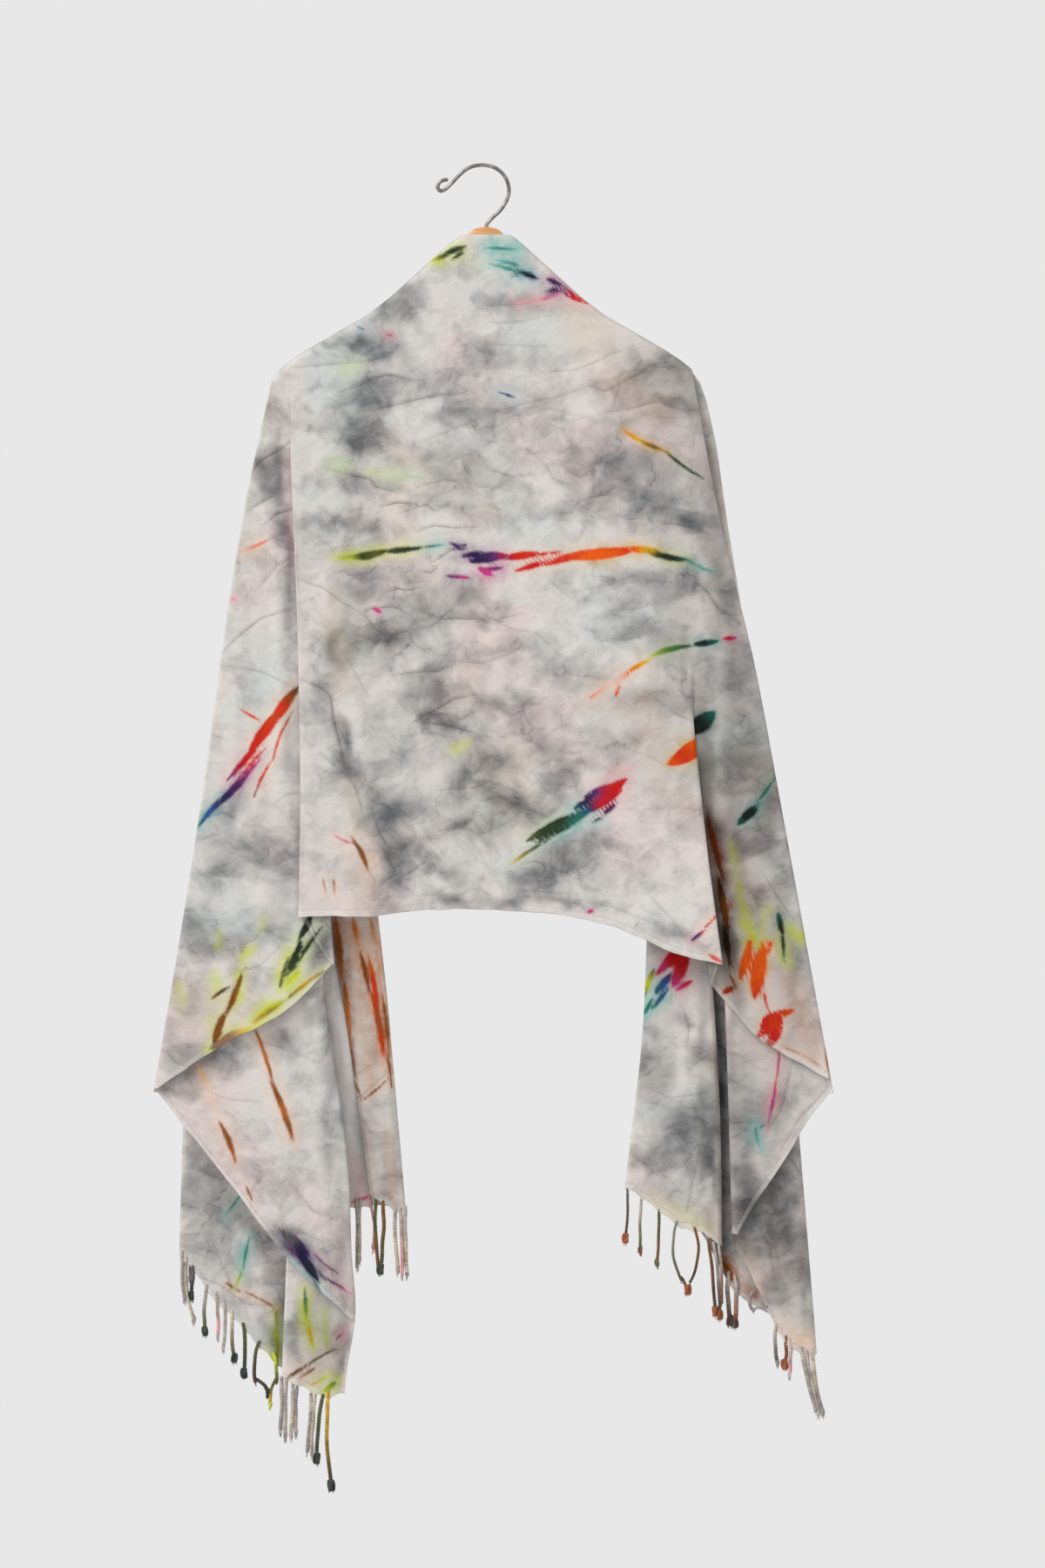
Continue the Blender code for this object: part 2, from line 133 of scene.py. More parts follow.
# Soft troughs and ridges pressed or hung into the cloth, listed one by one:
# stretch, col0, row0, col1, row1, half width, height out of the face.
CREASES = [
    ("centre_panel", 372, 640, 402, 770, 11, 2.2),
    ("centre_panel", 396, 760, 436, 900, 13, 3.4),
    ("centre_panel", 428, 880, 452, 1046, 14, 3.0),
    ("centre_panel", 378, 770, 404, 900, 8, -2.6),
    ("centre_panel", 402, 890, 432, 1000, 9, -2.4),
    ("centre_panel", 352, 820, 360, 1050, 10, 1.6),
    ("centre_panel", 768, 500, 776, 930, 12, -1.6),
    ("centre_panel", 742, 560, 748, 860, 13, 1.4),
    ("centre_panel", 792, 690, 806, 1010, 9, 1.8),
    ("centre_panel", 700, 450, 782, 412, 6, -1.1),
    ("centre_panel", 704, 438, 776, 402, 7, 0.9),
    ("centre_panel", 560, 480, 700, 447, 6, -0.8),
    ("centre_panel", 412, 476, 540, 452, 5, -0.9),
    ("centre_panel", 400, 448, 470, 432, 6, -0.9),
    ("centre_panel", 332, 425, 446, 411, 5, -0.7),
    ("centre_panel", 622, 429, 722, 399, 6, -0.9),
    ("centre_panel", 560, 353, 650, 338, 6, -0.7),
    ("centre_panel", 690, 474, 792, 470, 6, -0.9),
    ("centre_panel", 380, 541, 456, 566, 5, -1.0),
    ("centre_panel", 440, 582, 545, 604, 6, -0.8),
    ("centre_panel", 342, 664, 470, 705, 7, -1.0),
    ("centre_panel", 482, 828, 545, 800, 6, -1.0),
    ("centre_panel", 482, 830, 546, 842, 6, -1.1),
    ("centre_panel", 520, 712, 616, 727, 5, 0.8),
    ("centre_panel", 616, 727, 645, 770, 6, 0.8),
    ("centre_panel", 616, 727, 540, 765, 6, -0.8),
    ("centre_panel", 575, 912, 622, 937, 6, -0.9),
    ("centre_panel", 560, 965, 600, 880, 7, 1.0),
    ("centre_panel", 640, 1035, 760, 985, 8, 0.8),
    ("centre_panel", 700, 1045, 800, 1085, 7, -0.9),
    ("centre_panel", 740, 1020, 806, 1080, 8, 1.0),
    ("centre_panel", 600, 1010, 680, 1040, 7, 0.9),
    ("centre_panel", 480, 1020, 560, 1035, 6, 0.7),
    ("centre_panel", 650, 860, 800, 900, 7, -0.6),
    ("centre_panel", 600, 560, 700, 600, 10, 0.8),
    ("centre_panel", 470, 620, 480, 760, 14, 1.0),
    ("centre_panel", 560, 620, 585, 860, 16, 1.2),
    ("centre_panel", 660, 660, 690, 960, 16, 1.3),
    ("left_wing_front", 322, 440, 326, 600, 5, -1.6),
    ("left_wing_front", 312, 470, 316, 700, 6, 1.2),
    ("left_wing_front", 334, 600, 338, 800, 6, -1.6),
    ("left_wing_front", 318, 620, 326, 900, 7, 1.6),
    ("left_wing_front", 300, 760, 318, 1060, 9, -1.4),
    ("left_wing_front", 280, 640, 262, 980, 10, 1.4),
    ("left_wing_front", 332, 900, 350, 1140, 8, 1.6),
    ("left_wing_front", 254, 900, 216, 1190, 12, 1.3),
    ("left_wing_front", 290, 980, 268, 1190, 11, -1.5),
    ("left_wing_front", 362, 1010, 374, 1120, 6, -1.5),
    ("left_wing_front", 292, 585, 336, 560, 5, -0.8),
    ("right_wing_front", 818, 700, 838, 1020, 7, 1.5),
    ("right_wing_front", 834, 760, 862, 1100, 8, -1.3),
    ("right_wing_front", 858, 790, 900, 1150, 10, 1.3),
    ("right_wing_front", 880, 900, 926, 1170, 9, -1.2),
    ("right_wing_front", 800, 672, 845, 716, 5, -0.9),
    ("right_wing_front", 840, 1060, 880, 1180, 8, 1.2),
    ("left_wing_back", 300, 1180, 352, 1440, 10, 1.4),
    ("left_wing_back", 330, 1180, 384, 1460, 9, -1.2),
    ("left_wing_back", 362, 1120, 398, 1440, 8, 1.3),
    ("left_wing_back", 250, 1240, 310, 1400, 9, -1.1),
    ("left_wing_back", 216, 1270, 262, 1340, 7, 0.9),
    ("left_tail_front", 344, 1480, 360, 1590, 8, 1.5),
    ("left_tail_front", 384, 1490, 372, 1590, 8, -1.2),
    ("left_tail_outer", 232, 1320, 240, 1470, 8, 1.6),
    ("left_tail_outer", 262, 1380, 270, 1510, 7, -1.3),
    ("left_tail_outer", 296, 1430, 300, 1550, 8, 1.6),
    ("left_tail_outer", 222, 1000, 214, 1300, 8, 1.0),
    ("left_strip", 400, 1070, 416, 1240, 6, 1.0),
    ("left_strip", 420, 1080, 438, 1330, 6, -1.2),
    ("left_strip", 440, 1170, 452, 1380, 5, 1.2),
    ("right_wing_back", 846, 1170, 852, 1400, 7, 1.2),
    ("right_wing_back", 868, 1200, 864, 1370, 7, -1.1),
    ("right_wing_back", 892, 1220, 878, 1350, 8, 1.2),
    ("right_wing_back", 925, 1240, 900, 1310, 7, -0.9),
    ("right_tail_front", 858, 1400, 876, 1480, 7, 1.5),
    ("right_tail_front", 884, 1340, 906, 1530, 8, -1.4),
    ("right_tail_front", 908, 1330, 926, 1540, 7, 1.4),
    ("right_strip", 752, 1100, 742, 1360, 9, 1.5),
    ("right_strip", 776, 1110, 772, 1400, 9, -1.4),
    ("right_strip", 800, 1110, 802, 1410, 8, 1.5),
    ("right_strip", 818, 1300, 806, 1420, 6, -1.5),
    ("left_back", 300, 500, 250, 1400, 16, -2.0),
    ("left_back", 360, 440, 330, 1400, 18, 2.4),
    ("left_back", 400, 1000, 400, 1380, 14, -2.0),
    ("left_back", 440, 380, 430, 1000, 12, 1.6),
    ("right_back", 800, 500, 900, 1500, 16, -2.0),
    ("right_back", 760, 440, 830, 1450, 18, 2.4),
    ("right_back", 700, 400, 770, 1400, 14, -2.0),
    ("right_back", 660, 380, 728, 1000, 12, 1.6),
]

# Free waves of each stretch: height, and how strongly the fine pucker shows.
SWELL = {
    "centre_panel": (1.5, 0.30), "left_turn": (0.2, 0.1), "right_turn": (0.2, 0.1),
    "left_wing_front": (1.0, 0.28), "right_wing_front": (1.0, 0.28),
    "left_wing_back": (0.7, 0.22), "right_wing_back": (0.7, 0.22),
    "left_tail_front": (0.5, 0.2), "left_tail_turn": (0.2, 0.1), "left_tail_outer": (0.9, 0.25),
    "right_tail_front": (0.9, 0.25), "left_strip": (0.7, 0.2), "right_strip": (0.8, 0.2),
    "left_back": (2.0, 0.3), "right_back": (2.0, 0.3),
}


def spline(values, t):
    """A smooth curve through equally spaced values, at t from 0 to 1."""
    v = np.asarray(values, float)
    n = len(v) - 1
    k = np.clip(np.asarray(t, float) * n, 0, n)
    i = np.minimum(k.astype(int), n - 1)
    f = k - i
    ext = np.concatenate([[2 * v[0] - v[1]], v, [2 * v[-1] - v[-2]]])
    p0, p1, p2, p3 = ext[i], ext[i + 1], ext[i + 2], ext[i + 3]
    return 0.5 * (2 * p1 + (p2 - p0) * f + (2 * p0 - 5 * p1 + 4 * p2 - p3) * f * f
                  + (3 * p1 - p0 - 3 * p2 + p3) * f ** 3)


def smooth(t):
    t = np.clip(t, 0, 1)
    return t * t * (3 - 2 * t)


def fold_x(name, drop):
    top, foot, *stations = FOLDS[name]
    drop = np.asarray(drop, float)
    middle, half, far = NUDGES.get(name, (0, 1, 0))
    x = spline(stations, (drop - top) / (foot - top)) + far * np.exp(-((drop - middle) / half) ** 2)
    if name == "right_outer":
        round_end = np.interp(drop, (205, 223, 241, 259, 277, 313), (213, 225.5, 231.8, 236, 240, 247.5))
        x = x + (round_end - x) * (1 - smooth((drop - 277) / 40))
    return x


def by_drop(depths, drop):
    return np.interp(drop, (215, 450, 800, 1250), depths)


def ridge_drop(x):
    out, drop = zip(*RIDGE)
    return np.interp(np.abs(np.asarray(x) - HANGER_CENTRE), out, drop)


def panel_depth(u, drop):
    side = np.where(np.asarray(u) < 0.5, by_drop(PANEL_DEPTH["left"], drop),
                    by_drop(PANEL_DEPTH["right"], drop))
    w = np.abs(2 * np.asarray(u) - 1) ** 1.6
    return by_drop(PANEL_DEPTH["middle"], drop) * (1 - w) + side * w


def depth_of(name, drop, fold):
    if name == "centre_panel":
        return panel_depth(0.0 if fold.startswith("left") else 1.0, drop)
    return by_drop(STRETCHES[name][2], drop)


def ends_of(name):
    if name == "centre_panel":
        return "left_front", "right_front"
    return STRETCHES[name][:2]


class Column:
    """One line of points that runs down a sheet."""

    def __init__(self, kind, name, f=0.0, fold=None, first=None, second=None, angle=0.0, way=1):
        self.kind, self.name, self.f = kind, name, f
        self.fold, self.first, self.second = fold, first, second
        self.angle, self.way = angle, way

    def run(self, fold, drop):
        a, b = ACROSS[fold]
        rise = np.abs(depth_of(a, drop, fold) - depth_of(b, drop, fold)) / 2
        width = 1e9
        for n in (a, b):
            p, q = ends_of(n)
            width = np.minimum(width, np.abs(fold_x(p, drop) - fold_x(q, drop)))
        return np.minimum(rise, 0.42 * width)

    def place(self, drop):
        if self.kind == "flat":
            a, b = ends_of(self.name)
            if self.way < 0:
                a, b = b, a
            xa, xb = fold_x(a, drop), fold_x(b, drop)
            way = np.sign(xb - xa)
            ra = self.run(a, drop) if a in ACROSS else 0.0
            rb = self.run(b, drop) if b in ACROSS else 0.0
            x = (xa + way * ra) * (1 - self.f) + (xb - way * rb) * self.f
            if self.name == "centre_panel":
                y = panel_depth(self.f, drop)
            else:
                y = by_drop(STRETCHES[self.name][2], drop)
            return x, y
        y1, y2 = depth_of(self.first, drop, self.fold), depth_of(self.second, drop, self.fold)
        run = self.run(self.fold, drop)
        x = fold_x(self.fold, drop) - self.way * run * (1 - math.cos(self.angle))
        return x, (y1 + y2) / 2 + (y2 - y1) / 2 * math.sin(self.angle)


def columns_for(names, flats, turn=5):
    """Columns from the first stretch to the last, in the order given.  Each
    name may carry a minus sign: it is then crossed from its second fold."""
    made = []
    for i, (signed, count) in enumerate(zip(names, flats)):
        name = signed.lstrip("-")
        a, b = ends_of(name)
        if signed[0] == "-":
            a, b = b, a
        middle_drop = 600
        way = 1 if fold_x(b, middle_drop) > fold_x(a, middle_drop) else -1
        if i == 0 and a in ACROSS:
            other = [n for n in ACROSS[a] if n != name][0]
            for k in range(turn):
                angle = math.pi / 2 * k / turn
                made.append(Column("turn", name, 0.0, a, other, name, angle + (0.03 if k == 0 else 0), -way))
        flat_sign = -1 if signed[0] == "-" else 1
        for k in range(count + 1):
            made.append(Column("flat", name, k / count, way=flat_sign))
        if b in ACROSS:
            last = i == len(names) - 1
            other = [n for n in ACROSS[b] if n != name][0]
            steps = turn if last else 2 * turn
            for k in range(1, steps + (1 if last else 0)):
                angle = -math.pi / 2 + math.pi / 2 * k / turn
                if last and k == steps:
                    angle = -0.03
                holder = name if angle <= 0 else other
                made.append(Column("turn", holder, 1.0 if angle <= 0 else 0.0, b, name, other, angle, way))
    return made


# Smooth pseudo-random relief from waves in many directions.
def wave_set(seed, count, shortest, longest, stretch=(1.0, 1.0)):
    rng = random.Random(seed)
    waves = []
    for _ in range(count):
        length = shortest * (longest / shortest) ** rng.random()
        angle = rng.uniform(0, math.pi)
        waves.append((2 * math.pi / length * math.cos(angle) * stretch[0],
                      2 * math.pi / length * math.sin(angle) * stretch[1],
                      rng.uniform(0, 2 * math.pi), (length / longest) ** 0.7))
    return waves


def relief(waves, x, z):
    total = np.zeros_like(x, dtype=float)
    norm = math.sqrt(sum(a * a for *_, a in waves) / 2)
    for kx, kz, phase, a in waves:
        total += a * np.sin(kx * x + kz * z + phase)
    return total / norm


BROAD = wave_set(3, 16, 60, 240, (1.6, 0.6))
FINE = wave_set(5, 40, 7, 34)


def segment_field(px, pz, x0, z0, x1, z1):
    """(fraction along, signed distance across, distance) to a segment."""
    dx, dz = x1 - x0, z1 - z0
    length = math.hypot(dx, dz) or 1e-6
    s = ((px - x0) * dx + (pz - z0) * dz) / length ** 2
    across = ((px - x0) * dz - (pz - z0) * dx) / length
    c = np.clip(s, 0, 1)
    away = np.hypot(px - x0 - c * dx, pz - z0 - c * dz)
    return s, across, away, length


def crease_height(name, x, drop):
    total = np.zeros_like(x, dtype=float)
    for stretch, c0, r0, c1, r1, half, high in CREASES:
        if stretch != name:
            continue
        x0, z0 = lay(c0, r0)
        x1, z1 = lay(c1, r1)
        s, across, away, length = segment_field(x, drop, x0, z0, x1, z1)
        half_mm = half * SQUARE
        ends = smooth(s / 0.22) * smooth((1 - s) / 0.22)
        profile = np.exp(-(across / half_mm) ** 2)
        total += 1.45 * high * profile * ends
    return total


# ----------------------------------------------------------------- dye layout
PALETTE = {
    "white": (226, 219, 213), "darkgreen": (38, 56, 32), "olive": (84, 88, 40), "lime": (198, 208, 44),
    "green": (70, 130, 50), "teal": (30, 108, 96), "aqua": (110, 186, 178), "blue": (40, 84, 150),
    "navy": (34, 28, 72), "purple": (84, 40, 104), "magenta": (196, 56, 128), "pink": (228, 160, 165),
    "red": (200, 8, 14), "redorange": (214, 44, 4), "orange": (238, 92, 4), "gold": (216, 172, 20),
    "brown": (124, 70, 22), "rust": (150, 74, 26), "ash": (186, 176, 168), "beige": (206, 192, 170), "tan": (202, 142, 94), "sand": (206, 164, 132),
    "umber": (66, 46, 26), "smoke": (96, 92, 92), "palegreen": (196, 206, 170), "peach": (232, 196, 170), "blackgreen": (18, 34, 28),
    "amber": (188, 104, 34), "milk": (246, 240, 236),
    "grey": (156, 150, 146), "paleblue": (196, 208, 208),
}

# Dye marks, each a spindle: stretch, col0, row0, col1, row1, half
# width, bow, colours along it, halo colour, halo reach, halo strength.
MARKS = [
    ("centre_panel", 494, 302, 522, 290, 3.0, 0, "lime olive darkgreen", "lime", 10, 0.7),
    ("centre_panel", 508, 294, 536, 284, 3.6, 0, "darkgreen darkgreen olive", "lime", 8, 0.6),
    ("centre_panel", 518, 300, 534, 290, 2.4, 0, "olive darkgreen", "lime", 8, 0.6),
    ("centre_panel", 556, 286, 596, 288, 1.8, 0, "aqua teal aqua", "aqua", 14, 0.7),
    ("centre_panel", 560, 304, 604, 318, 2.0, 1, "aqua teal", "aqua", 14, 0.7),
    ("centre_panel", 568, 300, 596, 306, 1.6, 0, "aqua teal", "aqua", 12, 0.6),
    ("centre_panel", 540, 296, 570, 312, -2.0, 0, "palegreen palegreen", "palegreen", 14, 0.6),
    ("centre_panel", 594, 312, 618, 322, 3.4, 0, "navy blackgreen navy", "blue", 8, 0.5),
    ("centre_panel", 586, 320, 610, 312, 1.5, 0, "teal navy", "aqua", 8, 0.5),
    ("centre_panel", 626, 321, 648, 330, 2.8, 0, "purple navy purple", "magenta", 7, 0.5),
    ("centre_panel", 644, 328, 672, 348, 1.8, -1, "purple red red", "pink", 9, 0.5),
    ("centre_panel", 626, 336, 652, 334, 2.8, 0, "navy navy purple", "purple", 8, 0.6),
    ("centre_panel", 644, 336, 676, 350, 2.4, -1, "purple red red", "pink", 9, 0.6),
    ("centre_panel", 612, 346, 648, 336, 1.2, -2, "pink magenta magenta", "pink", 9, 0.6),
    ("centre_panel", 590, 350, 622, 344, 0.6, -1, "pink pink", "pink", 8, 0.5),
    ("centre_panel", 572, 451, 592, 458, 1.1, 0, "blue navy", "paleblue", 9, 0.6),
    ("centre_panel", 716, 495, 768, 520, 2.4, -3, "orange gold brown gold", "gold", 6, 0.55),
    ("centre_panel", 760, 516, 808, 551, 1.9, -2, "olive blackgreen teal", "palegreen", 6, 0.4),
    ("centre_panel", 384, 641, 412, 638, 1.8, -1, "lime olive", "lime", 8, 0.6),
    ("centre_panel", 398, 641, 448, 632, 4.6, -2, "lime darkgreen olive darkgreen", "lime", 7, 0.6),
    ("centre_panel", 436, 634, 488, 629, 3.6, -1, "olive darkgreen darkgreen", "lime", 7, 0.5),
    ("centre_panel", 478, 630, 512, 626, 1.2, 0, "darkgreen teal aqua", "aqua", 9, 0.6),
    ("centre_panel", 516, 624, 534, 632, 2.6, 0, "navy purple navy", "purple", 7, 0.5),
    ("centre_panel", 520, 632, 536, 626, 2.0, 0, "purple navy", "purple", 7, 0.4),
    ("centre_panel", 530, 640, 560, 636, 3.4, 1, "purple navy navy", "purple", 8, 0.5),
    ("centre_panel", 540, 646, 582, 638, 6.4, 1, "navy navy purple red", "magenta", 11, 0.5),
    ("centre_panel", 546, 634, 566, 640, 2.8, 0, "navy purple", "blue", 7, 0.4),
    ("centre_panel", 552, 656, 578, 652, 2.6, 0, "magenta purple", "magenta", 13, 0.7),
    ("centre_panel", 574, 642, 622, 636, 4.4, 0, "purple red redorange red", "peach", 8, 0.4),
    ("centre_panel", 600, 638, 644, 634, 2.2, -1, "redorange redorange", "peach", 8, 0.4),
    ("centre_panel", 590, 657, 636, 643, 3.4, 0, "redorange red redorange", "peach", 9, 0.45),
    ("centre_panel", 610, 652, 700, 630, 3.6, 0, "red redorange redorange orange", "peach", 10, 0.45),
    ("centre_panel", 644, 640, 728, 632, 7.0, -1, "redorange orange orange redorange", "gold", 9, 0.45),
    ("centre_panel", 716, 631, 756, 633, 4.2, 0, "redorange orange gold gold", "gold", 9, 0.6),
    ("centre_panel", 736, 631, 792, 644, 4.2, -2, "gold darkgreen blackgreen teal", "lime", 7, 0.5),
    ("centre_panel", 784, 641, 806, 650, 1.6, -2, "teal aqua", "aqua", 7, 0.4),
    ("centre_panel", 792, 643, 822, 658, 1.5, -3, "teal aqua", "aqua", 7, 0.4),
    ("centre_panel", 548, 652, 566, 662, 4.0, 0, "magenta magenta", "magenta", 10, 0.4),
    ("centre_panel", 512, 662, 540, 664, 2.6, 0, "purple magenta", "purple", 8, 0.3),
    ("centre_panel", 429, 699, 438, 704, 2.8, 0, "magenta magenta", "pink", 4, 0.5),
    ("centre_panel", 742, 756, 796, 742, 3.0, 3, "lime green darkgreen", "palegreen", 9, 0.5),
    ("centre_panel", 794, 741, 824, 737, 3.8, 0, "darkgreen blackgreen teal", "aqua", 7, 0.5),
    ("centre_panel", 829, 734, 846, 733, 2.6, 0, "red magenta", "pink", 6, 0.5),
    ("centre_panel", 676, 803, 722, 776, 1.7, 2, "orange peach orange", "peach", 12, 0.5),
    ("centre_panel", 712, 778, 748, 757, 2.4, 1, "orange gold", "peach", 12, 0.5),
    ("centre_panel", 706, 800, 712, 786, 1.6, 0, "redorange orange", "peach", 6, 0.3),
    ("centre_panel", 766, 878, 812, 842, 10.0, -4, "orange redorange orange orange", "gold", 9, 0.75),
    ("right_wing_front", 792, 842, 820, 818, 10.5, 0, "blackgreen blackgreen teal", "teal", 6, 0.5),
    ("centre_panel", 586, 992, 632, 962, 1.8, 1, "gold olive darkgreen", "palegreen", 7, 0.5),
    ("centre_panel", 604, 966, 660, 934, 5.6, 0, "olive darkgreen darkgreen darkgreen", "palegreen", 8, 0.6),
    ("centre_panel", 616, 966, 668, 940, 3.2, 0, "darkgreen darkgreen teal", "aqua", 9, 0.7),
    ("centre_panel", 650, 946, 684, 924, 5.2, 0, "teal teal blue", "aqua", 12, 0.8),
    ("centre_panel", 656, 930, 688, 910, 4.2, -1, "teal navy navy purple", "aqua", 9, 0.5),
    ("centre_panel", 664, 936, 714, 906, 6.4, 0, "blue navy red red red", "pink", 12, 0.5),
    ("centre_panel", 680, 924, 720, 893, 6.2, 0, "purple red red", "pink", 12, 0.5),
    ("centre_panel", 668, 918, 700, 900, 4.0, 0, "navy purple red", "pink", 9, 0.4),
    ("centre_panel", 690, 936, 708, 922, 2.8, 0, "navy purple", "pink", 8, 0.4),
    ("centre_panel", 680, 944, 696, 934, 1.6, 0, "navy purple", "aqua", 9, 0.6),
    ("centre_panel", 702, 896, 722, 884, -2.0, 0, "pink pink", "pink", 12, 0.8),
    ("centre_panel", 674, 1047, 681, 1044, 2.2, 0, "magenta magenta", "pink", 4, 0.4),
    ("centre_panel", 792, 1079, 808, 1067, 2.4, 0, "purple purple red", "pink", 9, 0.5),
    ("centre_panel", 806, 1066, 822, 1050, 1.0, 0, "red redorange", "peach", 9, 0.5),
    ("centre_panel", 812, 1094, 828, 1104, 2.8, 0, "red redorange", "peach", 5, 0.4),
    ("centre_panel", 382, 955, 406, 968, 1.2, -2, "pink red", "pink", 8, 0.3),
    ("centre_panel", 372, 1006, 376, 1030, 1.1, 0, "brown peach", "peach", 6, 0.3),
    ("centre_panel", 384, 1008, 386, 1030, 1.1, 0, "brown peach", "peach", 6, 0.3),
    ("centre_panel", 404, 960, 424, 1000, 2.6, 2, "brown brown", "peach", 16, 0.6),
    ("centre_panel", 520, 862, 536, 853, -1.6, 0, "lime lime", "lime", 8, 0.9),
    ("centre_panel", 392, 426, 412, 423, -1.4, 0, "lime lime", "palegreen", 13, 0.9),
    ("centre_panel", 380, 533, 398, 536, -1.4, 0, "lime lime", "palegreen", 13, 0.9),
    ("centre_panel", 424, 543, 484, 549, 0.5, 0, "lime palegreen aqua", "palegreen", 10, 0.8),
    ("centre_panel", 410, 376, 420, 381, 1.0, 0, "blue blue", "paleblue", 7, 0.5),
    ("centre_panel", 444, 385, 452, 388, 0.9, 0, "magenta purple", "pink", 7, 0.5),
    # left wing
    ("left_wing_front", 344, 788, 310, 836, 6.2, -1, "umber rust redorange redorange red", "peach", 11, 0.55),
    ("left_wing_front", 328, 810, 286, 866, 6.6, -1, "rust redorange red", "peach", 11, 0.5),
    ("left_wing_front", 302, 850, 262, 896, 3.8, 0, "redorange red purple", "pink", 11, 0.5),
    ("left_wing_front", 306, 858, 268, 902, 2.0, 0, "redorange redorange purple", "pink", 9, 0.4),
    ("left_wing_front", 300, 872, 266, 908, 2.6, 0, "magenta purple navy", "magenta", 9, 0.45),
    ("left_wing_front", 290, 884, 248, 928, 4.4, 0, "magenta purple navy navy", "purple", 8, 0.45),
    ("left_wing_front", 256, 914, 228, 950, 3.0, 0, "navy blue teal", "aqua", 9, 0.55),
    ("left_wing_front", 338, 816, 314, 874, 1.6, -3, "rust redorange red", "peach", 8, 0.45),
    ("left_wing_front", 316, 868, 292, 916, 1.2, -2, "red redorange purple", "peach", 8, 0.45),
    ("left_wing_front", 276, 814, 300, 828, 1.2, 0, "redorange redorange", "peach", 6, 0.3),
    ("left_wing_front", 266, 686, 272, 690, 2.8, 0, "pink pink", "pink", 6, 0.4),
    ("left_wing_front", 276, 636, 306, 622, 2.0, 0, "peach orange", "peach", 12, 0.4),
    ("left_wing_front", 246, 1202, 262, 1158, 4.8, 2, "brown brown brown", "lime", 9, 0.5),
    ("left_wing_front", 258, 1168, 280, 1112, 3.6, -2, "brown brown brown", "lime", 8, 0.5),
    ("left_wing_front", 243, 1147, 266, 1131, 1.9, 1, "brown umber brown", "lime", 7, 0.4),
    ("left_wing_front", 276, 1120, 284, 1108, 1.4, 0, "umber brown", "lime", 5, 0.4),
    ("left_wing_front", 242, 1204, 292, 1178, 6.0, 1, "umber brown brown gold lime", "lime", 9, 0.7),
    ("left_wing_front", 290, 1176, 330, 1146, 3.4, 1, "gold brown lime", "lime", 9, 0.8),
    ("left_wing_front", 330, 1146, 376, 1112, 2.0, 1, "umber gold umber", "lime", 8, 0.6),
    ("left_wing_front", 248, 1118, 252, 1136, -1.5, 0, "lime lime", "lime", 9, 0.95),
    ("left_wing_front", 276, 1116, 276, 1146, -1.5, 0, "lime lime", "lime", 8, 0.95),
    ("left_wing_front", 280, 1102, 292, 1086, -1.5, 0, "lime lime", "lime", 8, 0.85),
    ("left_wing_front", 252, 1070, 252, 1088, -1.5, 0, "lime palegreen", "lime", 6, 0.7),
    ("left_wing_front", 208, 1130, 210, 1154, -1.5, 0, "lime lime", "lime", 7, 0.5),
    ("left_wing_front", 240, 1168, 246, 1182, -1.5, 0, "lime lime", "lime", 7, 0.9),
    ("left_wing_front", 298, 1070, 306, 1052, -1.5, 0, "lime lime", "lime", 7, 0.4),
    ("left_wing_front", 300, 1168, 318, 1150, 3.4, 0, "lime lime", "lime", 12, 0.9),
    ("left_wing_front", 330, 1130, 346, 1112, 2.4, 0, "lime lime", "lime", 12, 0.9),
    ("left_wing_front", 322, 1134, 332, 1098, 2.4, 0, "olive darkgreen olive", "lime", 10, 0.8),
    ("left_wing_front", 328, 1122, 348, 1074, 4.6, -2, "darkgreen darkgreen blackgreen darkgreen", "lime", 12, 0.8),
    ("left_wing_front", 344, 1078, 360, 1046, 4.2, -1, "darkgreen blackgreen darkgreen", "palegreen", 10, 0.8),
    ("left_wing_front", 338, 1114, 372, 1062, 2.6, 2, "darkgreen darkgreen smoke", "palegreen", 9, 0.8),
    ("left_wing_front", 356, 1116, 380, 1072, -1.6, 0, "smoke smoke", "smoke", 8, 0.55),
    # left wing, back layer
    ("left_wing_back", 292, 1178, 314, 1244, 2.2, 2, "brown amber brown", "peach", 10, 0.5),
    ("left_wing_back", 310, 1236, 338, 1312, 3.8, 2, "amber brown amber brown amber", "peach", 9, 0.55),
    ("left_wing_back", 251, 1284, 272, 1336, 3.3, 2, "amber brown rust amber", "peach", 10, 0.5),
    ("left_wing_back", 228, 1222, 238, 1246, 1.6, 1, "gold peach", "peach", 12, 0.45),
    ("left_wing_back", 236, 1240, 246, 1268, -1.5, 0, "peach peach", "peach", 10, 0.8),
    ("left_wing_back", 312, 1406, 352, 1430, 2.0, 3, "smoke smoke navy", "grey", 9, 0.6),
    ("left_wing_back", 322, 1414, 356, 1438, 4.6, 1, "blackgreen smoke navy purple", "purple", 8, 0.55),
    ("left_wing_back", 328, 1426, 350, 1442, 3.0, -2, "smoke purple purple", "purple", 8, 0.45),
    ("left_wing_back", 338, 1418, 356, 1458, 6.0, 0, "smoke blackgreen navy navy", "purple", 9, 0.55),
    ("left_wing_back", 346, 1440, 366, 1472, 5.8, 1, "navy blackgreen navy", "blue", 8, 0.45),
    ("left_wing_back", 356, 1460, 372, 1494, 2.4, 1, "navy teal blackgreen", "aqua", 9, 0.6),
    ("left_wing_back", 352, 1452, 380, 1472, 2.2, 1, "purple smoke", "grey", 9, 0.5),
    ("left_wing_back", 334, 1446, 350, 1462, -1.5, 0, "aqua aqua", "aqua", 9, 0.7),
    ("left_wing_back", 360, 1436, 392, 1462, 1.0, -3, "purple purple", "pink", 6, 0.4),
    ("left_wing_back", 360, 1462, 404, 1486, 1.2, 3, "smoke purple magenta", "pink", 6, 0.35),
    ("left_wing_back", 282, 1358, 291, 1380, 1.5, 0, "brown rust", "peach", 7, 0.4),
    # left tails
